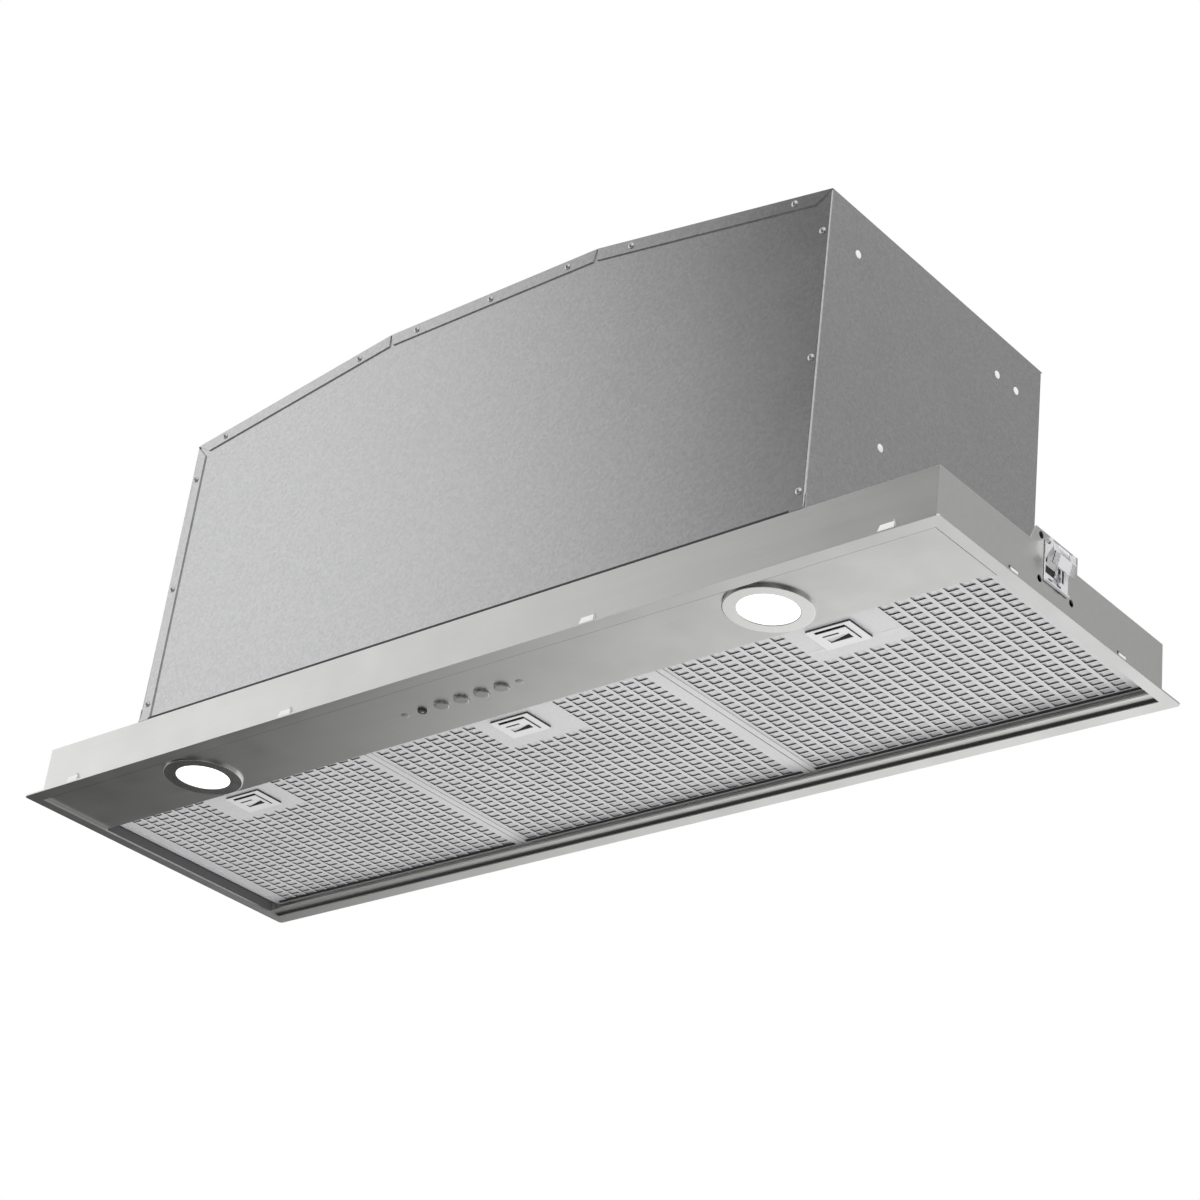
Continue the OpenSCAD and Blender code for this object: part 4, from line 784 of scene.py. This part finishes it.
def clips():
    """A bracket on each end wall with a windowed plate, a pin, a coil and a bent leaf on it, and
    black plates behind the windows and round the holes as painted shade.
    """
    upright = Matrix.Rotation(math.radians(90), 4, "X")
    half, low, high, pin_x, pin_z, thick = 13.5, 21, 51, 4, 47, 0.9
    windows = [(-12.6, 27.2, -1.2, 32.8), (-12.6, 34.8, -10.6, 40.6), (1.6, 32.8, 4.6, 37.4),
               (6.2, 28.4, 8.6, 38.8), (0.8, 22.4, 5.6, 25.2), (-9, 23, -4, 25)]
    cheek = [(0.5, high), (4.2, high), (5.6, 50.2), (6.2, 48.4), (6.2, 44.6), (5.4, 43.0),
             (0.5, 36)]
    foot = [(0.4, low), (0.4, 22), (2.6, 22.0), (2.6, low)]
    pin = [(0, 0), (1.15, 0), (1.2, 0.1), (1.2, 26.9), (1.15, 27), (0, 27)]
    arc = [(pin_x + 2.2, pin_z), (6.7, 45.2), (7.3, 43.2), (7.8, 41.4), (8.0, 40.2), (7.9, 39.2),
           (7.4, 37.6), (6.8, 35.6), (6.35, 34.2), (6.1, 33.4), (6.0, 33.0)]
    knee = arc[3:]
    leaf_y, lobes = 12.2, ((-12.2, -6.6), (6.6, 12.2))
    wire = [(1.75 + x, y) for x, y in circle(0.72, 8)]
    plates, dark = Shape(), Shape()
    for name, turn in (("right", Matrix()), ("left", Matrix.Rotation(math.pi, 4, "Z"))):
        y = CLIP_Y if name == "right" else -CLIP_Y
        here = turn @ Matrix.Translation((WALL_X, y, 0))
        wall = here @ Matrix.Rotation(math.radians(90), 4, "Z") @ upright
        pierced_plate(plates, (-half, low, half, high), windows, 0.35, 1.0, wall)
        # Black plate behind the windows and black sleeves at the holes: painted shade.
        dark.box((0, -13.2, 21.2), (0.35, 13.2, 50.8), here)
        for y0 in (-17.3, 19.3):
            hole = here @ Matrix.Translation((-1.3, y0, 51.9))
            dark.lathe([(2.55, 0), (3.6, 0), (3.6, 4), (2.55, 4)], 32,
                       hole @ Matrix.Rotation(math.radians(-90), 4, "Y"), loop=True)
        for y0, y1 in ((-half, -12.5), (12.5, half)):
            plates.extrude(cheek, -y1, -y0, here @ upright)
        plates.extrude(foot, -half, half, here @ upright)
        plates.lathe(pin, 24, here @ Matrix.Translation((pin_x, half, pin_z)) @ upright)

        leaf = Shape()
        for y0, y1 in lobes:
            long = y1 - y0
            leaf.lathe([(1.35, 0), (2.1, 0), (2.2, 0.1), (2.2, long - 0.1), (2.1, long),
                        (1.35, long)], 32,
                       here @ Matrix.Translation((pin_x, y1, pin_z)) @ upright, loop=True)
        for y0, y1 in lobes:
            leaf.extrude(bent_strip(arc, thick), -y1, -y0, here @ upright)
        leaf.extrude(bent_strip(knee, thick), -leaf_y, leaf_y, here @ upright)
        leaf.piece("clip_leaf_" + name, BODY_OF["spring_clip_" + name], "clip_chrome",
                   ("spring_clip_" + name,), bevel=0.15, angle=50)

        coil = Shape()
        for k in range(7):
            y0 = -6.1 + 1.75 * k
            coil.lathe(wire, 24, here @ Matrix.Translation((pin_x, y0 + 0.9, pin_z)) @ upright,
                       loop=True)
        coil.piece("clip_coil_" + name, "hood", "clip_chrome", shade_angle=60)
    plates.piece("clip_plates", "hood", "clip_chrome", ("clip_brackets",), bevel=0.15, angle=50)
    dark.piece("clip_window_shades", "hood", "gland_black")


# Surroundings

def studio():
    """Soft panels that shiny faces see, even light for matt ones, and a white backdrop."""
    base_level, even_level = 0.05, 0.95
    world = bpy.data.worlds.new("studio")
    bpy.context.scene.world = world
    world.use_nodes = True
    nodes, links = world.node_tree.nodes, world.node_tree.links
    nodes.clear()
    coord = nodes.new("ShaderNodeTexCoord").outputs["Generated"]
    total = None
    # Azimuth, elevation, inner and outer half angle in degrees, brightness
    panels = ((189.3, 15.6, 30.3, 44.4, 1.139), (102, -9.7, 33.7, 38.6, 1.049),
              (30.6, 28, 10, 60, 0.421), (-45, 24, 12, 50, 0.85), (0, 90, 15, 55, 0.7),
              (-45, -90, 10, 50, 0.1), (134, 24, 10, 24, 1.5), (-45, -57, 6, 25, 0.6),
              (45, -42, 10, 38, 0.42), (225, -44, 10, 38, 0.4), (276, 26, 5, 30, 0.4))
    for azimuth, elevation, inner, outer, level in panels:
        a, e = math.radians(azimuth), math.radians(elevation)
        dot = nodes.new("ShaderNodeVectorMath")
        dot.operation = "DOT_PRODUCT"
        dot.inputs[1].default_value = (math.cos(a) * math.cos(e), math.sin(a) * math.cos(e),
                                       math.sin(e))
        links.new(coord, dot.inputs[0])
        part = nodes.new("ShaderNodeMapRange")
        part.interpolation_type = "SMOOTHSTEP"
        part.inputs["From Min"].default_value = math.cos(math.radians(outer))
        part.inputs["From Max"].default_value = math.cos(math.radians(inner))
        part.inputs["To Max"].default_value = level
        links.new(dot.outputs["Value"], part.inputs["Value"])
        add = nodes.new("ShaderNodeMath")
        links.new(part.outputs["Result"], add.inputs[0])
        if total is None:
            add.inputs[1].default_value = base_level
        else:
            links.new(total, add.inputs[1])
        total = add.outputs[0]
    path = nodes.new("ShaderNodeLightPath")
    even = nodes.new("ShaderNodeMix")
    links.new(path.outputs["Is Diffuse Ray"], even.inputs["Factor"])
    links.new(total, even.inputs["A"])
    even.inputs["B"].default_value = even_level
    seen = nodes.new("ShaderNodeMath")
    seen.operation = "MAXIMUM"
    links.new(path.outputs["Is Camera Ray"], seen.inputs[0])
    links.new(path.outputs["Is Transmission Ray"], seen.inputs[1])
    white = nodes.new("ShaderNodeMix")
    links.new(seen.outputs[0], white.inputs["Factor"])
    links.new(even.outputs["Result"], white.inputs["A"])
    white.inputs["B"].default_value = 1.0
    ground = nodes.new("ShaderNodeBackground")
    ground.inputs["Color"].default_value = (1, 1, 1, 1)
    links.new(white.outputs["Result"], ground.inputs["Strength"])
    out = nodes.new("ShaderNodeOutputWorld")
    links.new(ground.outputs[0], out.inputs["Surface"])


def soft_light(name, place, size, power):
    """A square area lamp that looks at the middle of the part."""
    data = bpy.data.lights.new(name, "AREA")
    data.shape = "SQUARE"
    data.size = size
    data.energy = power
    light = bpy.data.objects.new(name, data)
    bpy.context.scene.collection.objects.link(light)
    light.location = place
    aim = Vector((0, 0, 0.15)) - Vector(place)
    light.rotation_euler = aim.to_track_quat("-Z", "Y").to_euler()


def floor():
    """Pale floor far below, which fades into the backdrop and is clear from underneath."""
    shape = Shape()
    depth = -1600
    shape.lathe([(2600, depth), (2000, depth), (1200, depth), (0, depth)], 96)
    mesh = bpy.data.meshes.new("floor")
    mesh.from_pydata([v * MM for v in shape.v], [], shape.f)
    ob = bpy.data.objects.new("floor", mesh)
    bpy.context.scene.collection.objects.link(ob)
    mat = bpy.data.materials.new("floor")
    mat.use_nodes = True
    nodes, links = mat.node_tree.nodes, mat.node_tree.links
    nodes.clear()
    coord = nodes.new("ShaderNodeTexCoord").outputs["Object"]
    length = nodes.new("ShaderNodeVectorMath")
    length.operation = "LENGTH"
    links.new(coord, length.inputs[0])
    fade = nodes.new("ShaderNodeMapRange")
    fade.interpolation_type = "SMOOTHSTEP"
    fade.inputs["From Min"].default_value = 1.8
    fade.inputs["From Max"].default_value = 3.0
    links.new(length.outputs["Value"], fade.inputs["Value"])
    diffuse = nodes.new("ShaderNodeBsdfDiffuse")
    diffuse.inputs["Color"].default_value = (0.9, 0.9, 0.9, 1)
    glow = nodes.new("ShaderNodeEmission")
    clear = nodes.new("ShaderNodeBsdfTransparent")
    mix = nodes.new("ShaderNodeMixShader")
    links.new(fade.outputs["Result"], mix.inputs[0])
    links.new(diffuse.outputs[0], mix.inputs[1])
    links.new(glow.outputs[0], mix.inputs[2])
    under = nodes.new("ShaderNodeMixShader")
    links.new(nodes.new("ShaderNodeNewGeometry").outputs["Backfacing"], under.inputs[0])
    links.new(mix.outputs[0], under.inputs[1])
    links.new(clear.outputs[0], under.inputs[2])
    out = nodes.new("ShaderNodeOutputMaterial")
    links.new(under.outputs[0], out.inputs["Surface"])
    mesh.materials.append(mat)
    ob.visible_glossy = False
    ob.visible_diffuse = False


# Making

set_camera()
bpy.context.scene.view_settings.view_transform = "Standard"

for node_name, node_object in NODES.items():
    node_object.data.materials.clear()
    node_object.data.materials.append(MATS[SLOT_OF[node_name]])

EDGE_WIDTH = {
    "canopy_frame": 0.4, "control_panel": 0.3, "rear_rail": 0.3, "front_panel": 0.2,
    "back_panel": 0.2, "side_panel_left": 0.35, "side_panel_right": 0.35, "top_wrapper": 0.35,
    "deck_left": 0.3, "deck_right": 0.3, "damper_flap_front": 0.3, "damper_flap_back": 0.3,
}
for sheet, width in EDGE_WIDTH.items():
    dressed(sheet, width, bend=1.8 if "side_panel" in sheet else 0)
dressed("duct_collar", 0.4, flat=False)
for number, side in enumerate(SIDES):
    dressed("filter_frame_" + side, 0.25)
    filter_face(side, number - 1)
    latch(side, number - 1)
rivets()
screws()
plugs()
tongues()
painted_shade_strips()
clips()
lamps()
buttons()
studio()
floor()
soft_light("top", (0.4, 0.6, 2.6), 1.8, 4)
